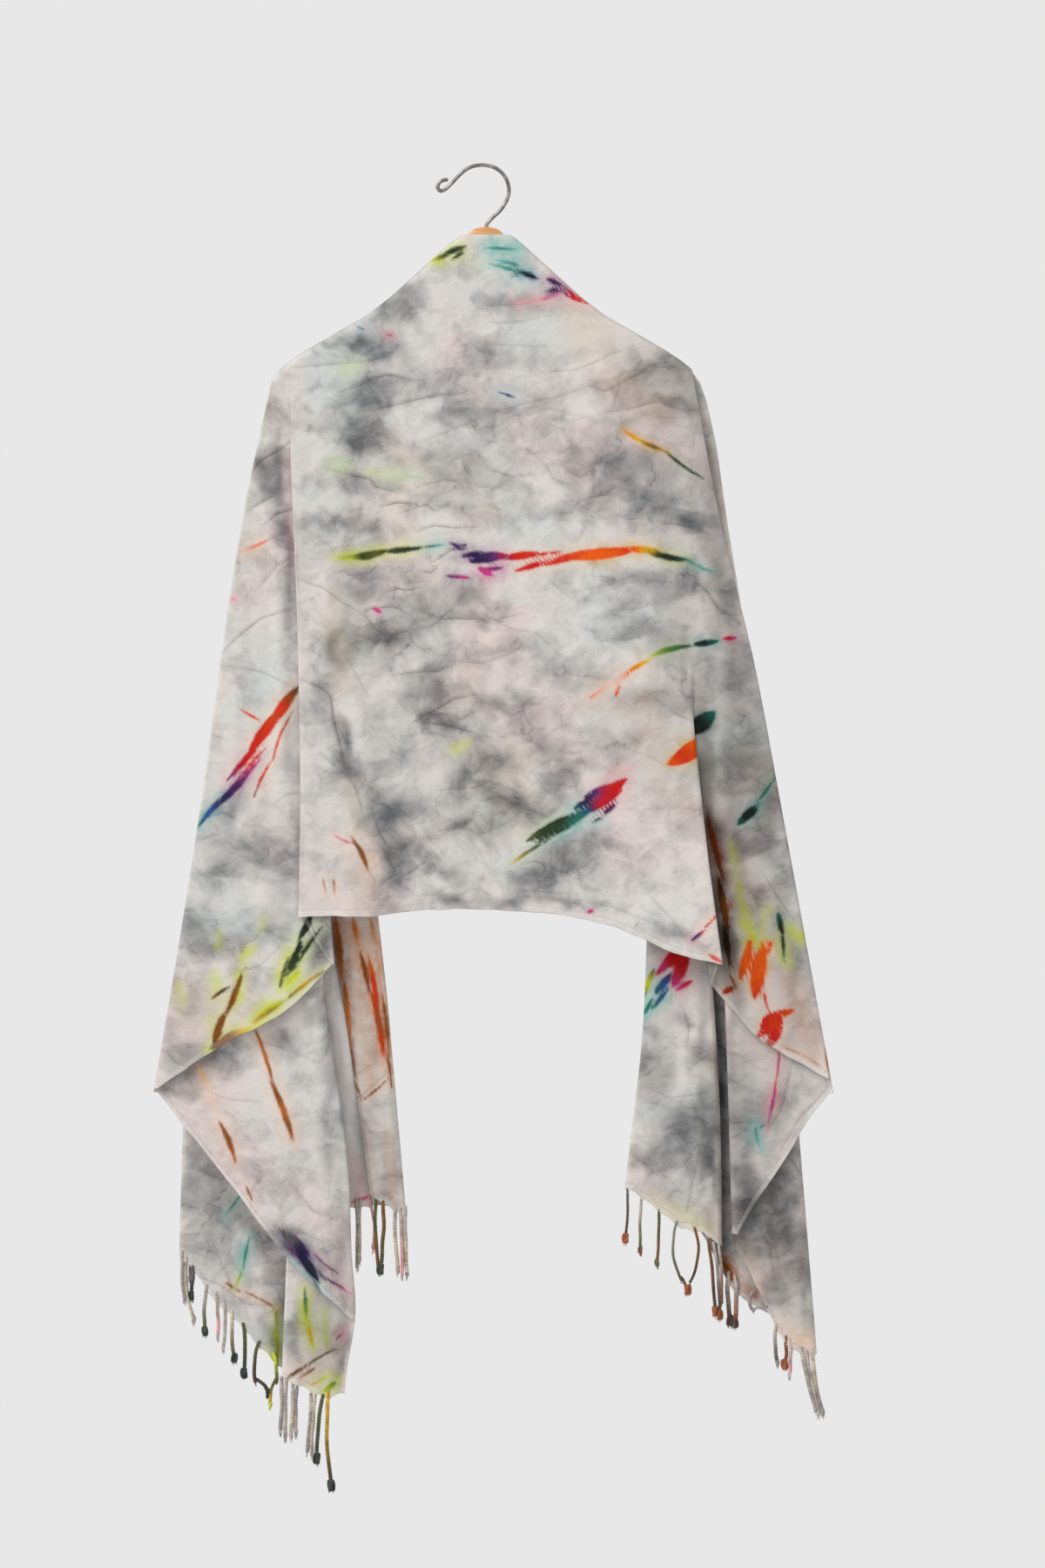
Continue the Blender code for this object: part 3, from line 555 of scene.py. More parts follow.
    ("left_tail_front", 350, 1478, 352, 1520, 2.2, 0, "teal green lime", "lime", 8, 0.7),
    ("left_tail_front", 352, 1514, 360, 1548, 2.6, 0, "lime gold lime", "lime", 9, 0.8),
    ("left_tail_front", 372, 1506, 376, 1544, -1.2, 0, "lime lime", "lime", 8, 0.9),
    ("left_tail_front", 386, 1538, 396, 1528, 1.6, 0, "purple pink", "pink", 9, 0.6),
    ("left_tail_front", 326, 1586, 352, 1568, 1.5, 1, "brown umber", "peach", 7, 0.4),
    ("left_tail_front", 350, 1568, 388, 1548, 1.1, 1, "umber olive", "peach", 7, 0.3),
    ("left_tail_front", 344, 1582, 362, 1570, 1.4, 0, "brown brown", "peach", 8, 0.5),
    ("left_tail_front", 358, 1590, 380, 1578, 1.6, 0, "orange lime lime", "lime", 10, 0.7),
    ("left_tail_front", 370, 1600, 386, 1586, 3.0, 0, "lime green", "lime", 10, 0.9),
    ("left_tail_outer", 278, 1462, 286, 1420, 1.4, 1, "green teal teal", "aqua", 9, 0.6),
    ("left_tail_outer", 268, 1484, 278, 1458, 1.6, 0, "lime green", "palegreen", 8, 0.55),
    ("left_tail_outer", 258, 1474, 276, 1486, 1.8, 0, "rust brown", "peach", 8, 0.45),
    ("left_tail_outer", 276, 1484, 318, 1506, 1.1, 2, "rust brown rust", "peach", 8, 0.45),
    ("left_tail_outer", 300, 1556, 318, 1566, 2.4, 0, "lime lime", "lime", 9, 0.7),
    ("left_tail_outer", 316, 1504, 318, 1566, 1.6, 0, "olive lime olive", "lime", 8, 0.6),
    ("left_tail_outer", 254, 1402, 282, 1364, 1.2, 0, "aqua teal aqua", "aqua", 8, 0.35),
    # left inner strip: rust and brown washes with finer streaks
    ("left_strip", 386, 1056, 394, 1140, -2.5, 0, "rust rust", "brown", 8, 0.8),
    ("left_strip", 408, 1060, 416, 1120, -3.0, 0, "rust rust", "tan", 14, 0.9),
    ("left_strip", 432, 1080, 440, 1170, -3.0, 0, "rust rust", "tan", 13, 0.85),
    ("left_strip", 440, 1150, 447, 1230, -3.0, 0, "rust rust", "tan", 8, 0.8),
    ("left_strip", 412, 1130, 424, 1250, -3.0, 0, "rust rust", "sand", 14, 0.75),
    ("left_strip", 398, 1150, 404, 1230, -3.0, 0, "rust rust", "rust", 4, 0.7),
    ("left_strip", 444, 1300, 452, 1380, -3.0, 0, "rust rust", "sand", 10, 0.6),
    ("left_strip", 420, 1290, 428, 1370, -3.0, 0, "rust rust", "sand", 14, 0.3),
    ("right_wing_front", 904, 1120, 930, 1200, -3.0, 0, "rust rust", "sand", 16, 0.6),
    ("left_strip", 394, 1056, 402, 1150, -5.0, 0, "rust rust", "tan", 13, 0.95),
    ("left_strip", 418, 1092, 428, 1170, -5.0, 0, "rust rust", "tan", 13, 0.95),
    ("left_strip", 430, 1160, 442, 1230, -4.0, 0, "rust rust", "tan", 12, 0.85),
    ("left_strip", 384, 1050, 392, 1130, 4.6, 0, "amber brown amber", "rust", 8, 0.7),
    ("left_strip", 393, 1120, 401, 1204, 3.6, 1, "brown amber tan", "rust", 8, 0.6),
    ("left_strip", 399, 1190, 407, 1240, 1.6, 1, "rust brown", "rust", 6, 0.5),
    ("left_strip", 404, 1052, 410, 1082, 3.0, 0, "tan amber tan", "tan", 11, 0.8),
    ("left_strip", 424, 1052, 430, 1080, 2.4, 0, "tan tan", "tan", 10, 0.7),
    ("left_strip", 412, 1090, 424, 1144, 3.0, 1, "rust brown rust", "tan", 9, 0.7),
    ("left_strip", 422, 1098, 434, 1166, 3.4, 1, "amber redorange rust", "tan", 9, 0.7),
    ("left_strip", 426, 1140, 440, 1214, 4.4, 2, "redorange rust redorange", "tan", 10, 0.7),
    ("left_strip", 438, 1140, 446, 1214, 2.2, 1, "rust brown rust", "tan", 8, 0.6),
    ("left_strip", 442, 1204, 449, 1250, 1.4, 1, "rust brown", "sand", 8, 0.5),
    ("left_strip", 404, 1238, 414, 1262, 1.0, 0, "rust brown", "peach", 8, 0.4),
    ("left_strip", 412, 1266, 446, 1238, 1.1, -2, "brown brown", "peach", 7, 0.5),
    ("left_strip", 404, 1300, 412, 1360, 1.0, 1, "brown smoke", "peach", 7, 0.4),
    ("left_strip", 444, 1370, 456, 1384, -1.5, 0, "rust rust", "rust", 8, 0.6),
    # milk-white washes on the left back: painted light that brightens the cloth seen in the shaded gap between the tail
    # and the strip
    ("left_back", 386, 1110, 396, 1240, -8.0, 0, "milk milk", "milk", 14, 1.0),
    ("left_back", 394, 1230, 402, 1350, -8.0, 0, "milk milk", "milk", 14, 1.0),
    ("left_back", 402, 1384, 424, 1376, 1.4, 0, "red magenta", "pink", 10, 0.7),
    ("left_back", 400, 1330, 412, 1376, -2.5, 0, "pink pink", "pink", 14, 0.6),
    # right wing
    ("right_wing_front", 846, 947, 872, 922, 5.2, 0, "teal blackgreen blackgreen teal", "aqua", 7, 0.5),
    ("right_wing_front", 862, 930, 890, 892, 1.7, 0, "teal teal green", "aqua", 5, 0.4),
    ("right_wing_front", 810, 930, 826, 1000, 3.6, 0, "umber rust umber", "brown", 8, 0.7),
    ("right_wing_front", 818, 962, 830, 1010, 3.0, 0, "redorange rust brown", "rust", 9, 0.7),
    ("right_wing_front", 824, 1006, 835, 1070, 4.6, 0, "umber brown umber", "umber", 8, 0.7),
    ("right_wing_front", 830, 1060, 838, 1112, 3.6, 0, "umber umber brown", "umber", 7, 0.7),
    ("right_wing_front", 832, 1044, 842, 1036, 2.6, 0, "rust amber", "brown", 7, 0.6),
    ("right_wing_front", 832, 1064, 836, 1050, 2.2, 0, "rust rust", "brown", 6, 0.5),
    ("right_wing_front", 838, 966, 850, 1030, -1.2, 0, "lime lime", "lime", 7, 0.75),
    ("right_wing_front", 848, 1026, 858, 1062, -1.2, 0, "lime lime", "lime", 8, 0.8),
    ("right_wing_front", 852, 1056, 872, 1086, 0.6, 0, "lime lime", "lime", 9, 0.85),
    ("right_wing_front", 872, 1070, 884, 1040, -1.2, 0, "lime lime", "lime", 8, 0.6),
    ("right_wing_front", 900, 1064, 922, 1078, 0.4, 0, "lime lime", "lime", 10, 0.8),
    ("right_wing_front", 902, 1090, 906, 1112, -1.2, 0, "lime lime", "lime", 8, 0.7),
    ("right_wing_front", 892, 1046, 898, 1074, 3.8, 0, "teal blackgreen blackgreen", "teal", 7, 0.6),
    ("right_wing_front", 896, 1064, 900, 1104, 2.0, 0, "blackgreen darkgreen teal", "lime", 8, 0.7),
    ("right_wing_front", 848, 1126, 861, 1076, 5.6, -1, "orange orange orange", "gold", 6, 0.6),
    ("right_wing_front", 865, 1146, 877, 1080, 8.6, 1, "redorange orange orange", "gold", 6, 0.6),
    ("right_wing_front", 879, 1098, 885, 1078, 3.2, 0, "orange orange", "gold", 6, 0.6),
    ("right_wing_front", 852, 1086, 876, 1076, 1.4, 0, "gold orange gold", "lime", 8, 0.7),
    ("right_wing_front", 874, 1126, 880, 1160, 1.8, 0, "redorange redorange", "peach", 9, 0.5),
    ("right_wing_front", 874, 1170, 912, 1158, 4.8, 0, "red redorange orange", "peach", 8, 0.6),
    ("right_wing_front", 872, 1180, 898, 1166, 10.5, 0, "red redorange redorange", "peach", 8, 0.6),
    ("right_wing_front", 876, 1206, 898, 1176, 5.4, 0, "rust red redorange", "peach", 8, 0.6),
    ("right_wing_front", 868, 1190, 884, 1176, 4.0, 0, "red redorange", "peach", 8, 0.5),
    ("right_wing_front", 828, 1140, 846, 1130, 3.2, 0, "red rust", "peach", 10, 0.6),
    ("right_wing_front", 836, 1116, 846, 1136, 1.2, 0, "rust brown", "peach", 8, 0.5),
    ("right_wing_front", 900, 1202, 940, 1222, 1.3, 2, "rust peach rust", "peach", 9, 0.45),
    ("right_wing_front", 946, 1200, 952, 1236, 1.2, 0, "rust brown", "peach", 7, 0.4),
    ("right_wing_back", 894, 1206, 890, 1246, 1.3, 1, "magenta red", "pink", 8, 0.45),
    ("right_wing_back", 890, 1240, 883, 1282, 1.9, 1, "red magenta purple", "pink", 8, 0.5),
    ("right_wing_back", 884, 1276, 880, 1302, 1.0, 0, "magenta pink", "pink", 8, 0.4),
    ("right_wing_back", 866, 1292, 872, 1318, 2.0, 0, "teal aqua", "aqua", 13, 0.6),
    ("right_wing_back", 866, 1296, 884, 1288, 1.0, 0, "teal teal", "aqua", 12, 0.5),
    ("right_tail_front", 840, 1446, 868, 1476, -2.0, 0, "peach peach", "peach", 16, 0.8),
    ("right_back", 824, 1448, 844, 1474, 6.0, 0, "umber brown rust", "rust", 10, 0.9),
    ("right_back", 840, 1462, 870, 1490, -2.0, 0, "rust rust", "rust", 12, 0.9),
    ("right_tail_front", 892, 1524, 936, 1544, -2.0, 0, "peach peach", "peach", 16, 0.8),
    # right inner strip
    ("right_strip", 762, 1112, 788, 1086, 8.0, 0, "red red red", "magenta", 9, 0.6),
    ("right_strip", 772, 1134, 792, 1094, 7.4, 0, "magenta red red", "pink", 10, 0.6),
    ("right_strip", 754, 1120, 772, 1100, 5.0, 0, "red magenta red", "pink", 10, 0.6),
    ("right_strip", 776, 1138, 796, 1126, 3.4, 0, "magenta red", "pink", 8, 0.5),
    ("right_strip", 752, 1142, 772, 1118, 5.0, 0, "teal blue navy", "aqua", 11, 0.7),
    ("right_strip", 748, 1160, 768, 1136, 2.8, 0, "teal blue", "aqua", 10, 0.7),
    ("right_strip", 740, 1166, 750, 1146, 2.4, 0, "teal teal", "aqua", 10, 0.6),
    ("right_strip", 738, 1148, 752, 1112, 3.4, 0, "darkgreen lime darkgreen", "aqua", 10, 0.6),
    ("right_strip", 744, 1384, 812, 1412, -2.5, 0, "palegreen palegreen", "lime", 16, 0.35),
    # beige and brown washes of the middle panel
    ("centre_panel", 386, 680, 392, 770, -2.5, 0, "beige beige", "beige", 9, 0.75),
    ("centre_panel", 378, 700, 396, 790, -2.5, 0, "beige beige", "beige", 14, 0.5),
    ("centre_panel", 420, 968, 434, 1046, -2.5, 0, "beige beige", "rust", 9, 0.28),
    ("centre_panel", 400, 900, 424, 1040, -2.5, 0, "beige beige", "beige", 18, 0.45),
    ("centre_panel", 736, 596, 740, 644, -2.5, 0, "beige beige", "beige", 8, 0.5),
    ("centre_panel", 336, 480, 344, 900, -2.5, 0, "beige beige", "beige", 14, 0.25),
    ("centre_panel", 700, 440, 760, 470, -2.5, 0, "beige beige", "peach", 26, 0.35),
    ("centre_panel", 720, 800, 796, 930, -2.5, 0, "beige beige", "peach", 40, 0.25),
    ("left_wing_front", 336, 520, 336, 640, -2.5, 0, "pink pink", "pink", 10, 0.3),
]

# Grey clouds: stretch, column, row, half width, half height, tilt, strength.
CLOUDS = [
    ("centre_panel", 470, 335, 20, 26, -40, 0.75), ("centre_panel", 462, 362, 24, 18, 0, 0.8),
    ("centre_panel", 440, 352, 16, 14, 0, 0.7), ("centre_panel", 420, 396, 20, 16, 0, 0.8),
    ("centre_panel", 446, 402, 22, 12, 10, 0.75), ("centre_panel", 410, 402, 12, 8, 0, 0.6),
    ("centre_panel", 378, 398, 10, 6, 0, 0.6), ("centre_panel", 428, 442, 28, 13, -12, 0.75),
    ("centre_panel", 428, 462, 22, 18, 0, 0.85), ("centre_panel", 402, 460, 12, 10, 0, 0.5),
    ("centre_panel", 368, 448, 8, 5, 0, 0.5), ("centre_panel", 356, 470, 7, 5, 0, 0.45),
    ("centre_panel", 358, 500, 9, 9, 0, 0.35), ("centre_panel", 410, 496, 24, 14, 0, 0.75),
    ("centre_panel", 428, 504, 22, 20, 10, 0.9), ("centre_panel", 356, 560, 9, 9, 0, 0.4),
    ("centre_panel", 392, 562, 14, 12, 0, 0.5), ("centre_panel", 420, 556, 30, 16, 10, 0.55),
    ("centre_panel", 392, 598, 16, 9, 0, 0.7), ("centre_panel", 426, 604, 26, 14, 0, 0.65),
    ("centre_panel", 360, 600, 12, 7, 0, 0.35), ("centre_panel", 402, 640, 30, 10, 0, 0.35),
    ("centre_panel", 430, 668, 34, 18, 0, 0.6), ("centre_panel", 470, 660, 24, 20, 0, 0.45),
    ("centre_panel", 450, 730, 38, 18, -8, 0.7), ("centre_panel", 420, 726, 22, 20, 0, 0.4),
    ("centre_panel", 480, 702, 30, 14, 10, 0.6), ("centre_panel", 546, 706, 34, 8, 4, 0.55),
    ("centre_panel", 530, 680, 34, 20, 0, 0.4), ("centre_panel", 498, 766, 40, 10, -4, 0.6),
    ("centre_panel", 498, 790, 24, 14, 0, 0.75), ("centre_panel", 470, 795, 14, 16, 0, 0.45),
    ("centre_panel", 512, 832, 34, 13, 12, 0.95), ("centre_panel", 606, 828, 30, 26, 0, 0.6),
    ("centre_panel", 570, 805, 26, 14, 0, 0.5), ("centre_panel", 626, 860, 26, 24, 0, 0.6),
    ("centre_panel", 560, 876, 26, 20, 0, 0.8), ("centre_panel", 548, 900, 28, 14, 0, 0.6),
    ("centre_panel", 590, 922, 34, 16, 24, 0.95), ("centre_panel", 566, 944, 26, 16, 0, 0.6),
    ("centre_panel", 524, 950, 12, 10, 0, 0.8), ("centre_panel", 552, 962, 18, 8, 0, 0.5),
    ("centre_panel", 512, 915, 22, 9, 14, 0.4), ("centre_panel", 640, 900, 34, 18, -34, 0.6),
    ("centre_panel", 662, 880, 22, 16, 0, 0.45), ("centre_panel", 690, 968, 34, 14, 6, 0.55),
    ("centre_panel", 648, 986, 28, 22, 0, 0.7), ("centre_panel", 622, 1012, 22, 20, 0, 0.85),
    ("centre_panel", 596, 1010, 18, 12, 0, 0.6), ("centre_panel", 586, 1036, 20, 8, 0, 0.85),
    ("centre_panel", 506, 1006, 20, 12, 0, 0.65), ("centre_panel", 496, 984, 9, 7, 0, 0.7),
    ("centre_panel", 520, 1034, 24, 7, 8, 0.7), ("centre_panel", 452, 940, 22, 24, 0, 0.85),
    ("centre_panel", 430, 940, 13, 30, -14, 0.7), ("centre_panel", 404, 886, 14, 24, -18, 0.9),
    ("centre_panel", 392, 858, 9, 30, -10, 0.8), ("centre_panel", 446, 976, 20, 16, 0, 0.8),
    ("centre_panel", 474, 966, 20, 13, 0, 0.8), ("centre_panel", 454, 1006, 22, 16, 0, 0.7),
    ("centre_panel", 440, 1036, 26, 10, 0, 0.4), ("centre_panel", 362, 812, 18, 30, 0, 0.6),
    ("centre_panel", 368, 770, 16, 14, 0, 0.4), ("centre_panel", 384, 748, 8, 20, -12, 0.5),
    ("centre_panel", 462, 868, 14, 20, 0, 0.35), ("centre_panel", 546, 470, 60, 26, -6, 0.45),
    ("centre_panel", 560, 412, 34, 20, 0, 0.5), ("centre_panel", 500, 440, 34, 16, 0, 0.35),
    ("centre_panel", 590, 350, 44, 12, 4, 0.45), ("centre_panel", 560, 312, 40, 14, 0, 0.35),
    ("centre_panel", 520, 545, 52, 22, 0, 0.45), ("centre_panel", 512, 580, 40, 12, 0, 0.4),
    ("centre_panel", 654, 508, 52, 26, 16, 0.5), ("centre_panel", 716, 536, 50, 26, -10, 0.8),
    ("centre_panel", 690, 568, 50, 20, 0, 0.55), ("centre_panel", 748, 578, 34, 26, 0, 0.6),
    ("centre_panel", 640, 588, 60, 14, -4, 0.4), ("centre_panel", 744, 428, 46, 18, -24, 0.55),
    ("centre_panel", 778, 430, 20, 20, 0, 0.5), ("centre_panel", 764, 464, 34, 9, 0, 0.85),
    ("centre_panel", 700, 446, 26, 9, 14, 0.5), ("centre_panel", 740, 486, 40, 10, 0, 0.45),
    ("centre_panel", 792, 606, 20, 11, 0, 0.7), ("centre_panel", 754, 668, 34, 18, 0, 0.45),
    ("centre_panel", 712, 670, 40, 8, -4, 0.5), ("centre_panel", 790, 668, 13, 14, 0, 0.8),
    ("centre_panel", 730, 724, 32, 16, 0, 0.6), ("centre_panel", 712, 700, 40, 8, -8, 0.5),
    ("centre_panel", 770, 806, 34, 16, 14, 0.6), ("centre_panel", 740, 800, 26, 12, 0, 0.4),
    ("centre_panel", 718, 850, 40, 16, 0, 0.25), ("centre_panel", 640, 770, 40, 22, 0, 0.35),
    ("centre_panel", 580, 745, 60, 16, -4, 0.4), ("centre_panel", 640, 1034, 40, 6, 2, 0.6),
    ("centre_panel", 770, 1072, 34, 9, 22, 0.6), ("centre_panel", 786, 735, 16, 40, 0, 0.3),
    ("centre_panel", 790, 900, 12, 60, -4, 0.3), ("centre_panel", 750, 950, 40, 30, 0, 0.12),
    ("left_wing_front", 316, 440, 14, 14, 0, 0.7), ("left_wing_front", 314, 470, 16, 24, 0, 0.5),
    ("left_wing_front", 308, 536, 22, 20, 10, 0.85), ("left_wing_front", 316, 566, 24, 18, 0, 0.75),
    ("left_wing_front", 324, 600, 16, 20, 0, 0.7), ("left_wing_front", 332, 650, 10, 40, 0, 0.4),
    ("left_wing_front", 318, 640, 14, 26, 20, 0.2), ("left_wing_front", 336, 720, 9, 40, 0, 0.25),
    ("left_wing_front", 300, 700, 34, 12, -20, 0.1), ("left_wing_front", 256, 930, 22, 22, 0, 0.45),
    ("left_wing_front", 270, 978, 50, 24, 8, 0.3), ("left_wing_front", 326, 1004, 24, 34, 0, 0.45),
    ("left_wing_front", 250, 1000, 30, 18, 0, 0.45), ("left_wing_front", 218, 1060, 24, 20, 0, 0.8),
    ("left_wing_front", 240, 1086, 40, 18, 0, 0.6), ("left_wing_front", 296, 1064, 30, 22, 0, 0.5),
    ("left_wing_front", 300, 1120, 22, 18, 0, 0.5), ("left_wing_front", 330, 1066, 16, 20, 0, 0.6),
    ("left_wing_front", 368, 1084, 13, 26, 24, 0.8), ("left_wing_front", 380, 1062, 9, 16, 0, 0.6),
    ("left_wing_front", 206, 1212, 24, 14, 0, 0.5), ("left_wing_front", 224, 1160, 22, 18, 0, 0.3),
    ("left_wing_back", 230, 1220, 50, 12, -22, 0.85), ("left_wing_back", 272, 1204, 30, 12, 0, 0.7),
    ("left_wing_back", 320, 1190, 26, 16, 0, 0.75), ("left_wing_back", 366, 1160, 20, 18, 0, 0.6),
    ("left_wing_back", 378, 1180, 12, 26, 0, 0.7), ("left_wing_back", 210, 1256, 26, 10, 20, 0.5),
    ("left_wing_back", 300, 1350, 34, 14, 40, 0.25), ("left_wing_back", 330, 1430, 40, 18, 30, 0.5),
    ("left_wing_back", 384, 1300, 10, 80, 0, 0.4), ("left_wing_back", 388, 1440, 14, 40, 0, 0.35),
    ("left_tail_outer", 232, 1350, 26, 34, 0, 0.6), ("left_tail_outer", 256, 1390, 26, 22, 0, 0.6),
    ("left_tail_outer", 218, 1380, 14, 50, 0, 0.4), ("left_tail_outer", 290, 1420, 22, 30, 0, 0.5),
    ("left_tail_outer", 280, 1480, 30, 20, 0, 0.35), ("left_tail_outer", 316, 1500, 14, 60, 0, 0.6),
    ("left_tail_outer", 230, 1440, 24, 16, 0, 0.3), ("left_tail_front", 340, 1540, 10, 50, 0, 0.5),
    ("left_tail_front", 372, 1480, 24, 20, 0, 0.4), ("left_tail_front", 390, 1560, 10, 30, 0, 0.35),
    ("left_back", 402, 1320, 30, 70, 0, 0.15), ("left_strip", 420, 1300, 20, 60, 0, 0.2),
    ("left_strip", 446, 1340, 14, 50, 0, 0.35), ("left_strip", 436, 1200, 14, 40, 0, 0.3),
    ("centre_panel", 812, 470, 12, 40, 0, 0.3), ("centre_panel", 834, 690, 16, 26, -20, 0.75),
    ("centre_panel", 846, 770, 16, 34, 0, 0.6), ("centre_panel", 824, 780, 14, 40, 0, 0.35),
    ("right_wing_front", 858, 840, 18, 46, -8, 0.65), ("right_wing_front", 842, 880, 20, 26, 0, 0.45),
    ("right_wing_front", 884, 920, 16, 40, 0, 0.4), ("right_wing_front", 850, 976, 22, 16, 0, 0.6),
    ("right_wing_front", 880, 960, 16, 16, 0, 0.4), ("right_wing_front", 862, 1030, 20, 22, 0, 0.65),
    ("right_wing_front", 846, 1010, 12, 22, 0, 0.5), ("right_wing_front", 900, 1010, 14, 26, 0, 0.4),
    ("right_wing_front", 914, 1110, 14, 50, 0, 0.4), ("right_wing_front", 936, 1190, 10, 30, 0, 0.3),
    ("right_wing_back", 870, 1290, 26, 22, 0, 0.5), ("right_wing_back", 846, 1240, 14, 60, 0, 0.3),
    ("right_wing_back", 900, 1260, 26, 30, 0, 0.3), ("right_wing_back", 870, 1370, 24, 26, 0, 0.45),
    ("right_wing_back", 858, 1330, 14, 30, 0, 0.5), ("right_tail_front", 886, 1360, 30, 40, 0, 0.8),
    ("right_tail_front", 880, 1420, 30, 30, 0, 0.7), ("right_tail_front", 912, 1400, 20, 50, 0, 0.75),
    ("right_tail_front", 896, 1470, 26, 34, 0, 0.6), ("right_tail_front", 926, 1480, 12, 40, 0, 0.5),
    ("right_tail_front", 862, 1390, 14, 20, 0, 0.8),
    ("right_strip", 742, 1220, 22, 34, 0, 0.55), ("right_strip", 784, 1170, 10, 22, -20, 0.4),
    ("right_strip", 800, 1216, 16, 9, 0, 0.8), ("right_strip", 786, 1290, 34, 18, 0, 0.55),
    ("right_strip", 806, 1296, 18, 30, 0, 0.45), ("right_strip", 768, 1326, 30, 22, 0, 0.5),
    ("right_strip", 740, 1336, 20, 16, 0, 0.6), ("right_strip", 794, 1342, 24, 14, 0, 0.4),
    ("right_strip", 746, 1180, 16, 14, 0, 0.4), ("right_strip", 820, 1330, 8, 60, 0, 0.5),
    ("right_strip", 780, 1370, 40, 14, 0, 0.35),
    # the next two right_back clouds are partly grey dye and partly painted shade of the narrow gap beside the right
    # strip
    ("right_back", 830, 1200, 20, 240, 0, 0.75), ("right_back", 840, 1420, 20, 40, 0, 0.6),
    ("centre_panel", 505, 812, 56, 36, 0, 0.25), ("centre_panel", 550, 975, 56, 50, 0, 0.14),
    ("centre_panel", 540, 590, 50, 16, 0, 0.12), ("right_wing_back", 852, 1380, 16, 40, 0, 0.6),
    ("right_wing_back", 856, 1400, 12, 20, 0, 0.5), ("left_wing_back", 340, 1426, 26, 14, 34, 0.55),
    ("left_wing_back", 356, 1452, 20, 14, 40, 0.5), ("centre_panel", 840, 600, 14, 60, 0, 0.3),
    ("centre_panel", 822, 560, 10, 40, 0, 0.3),
]

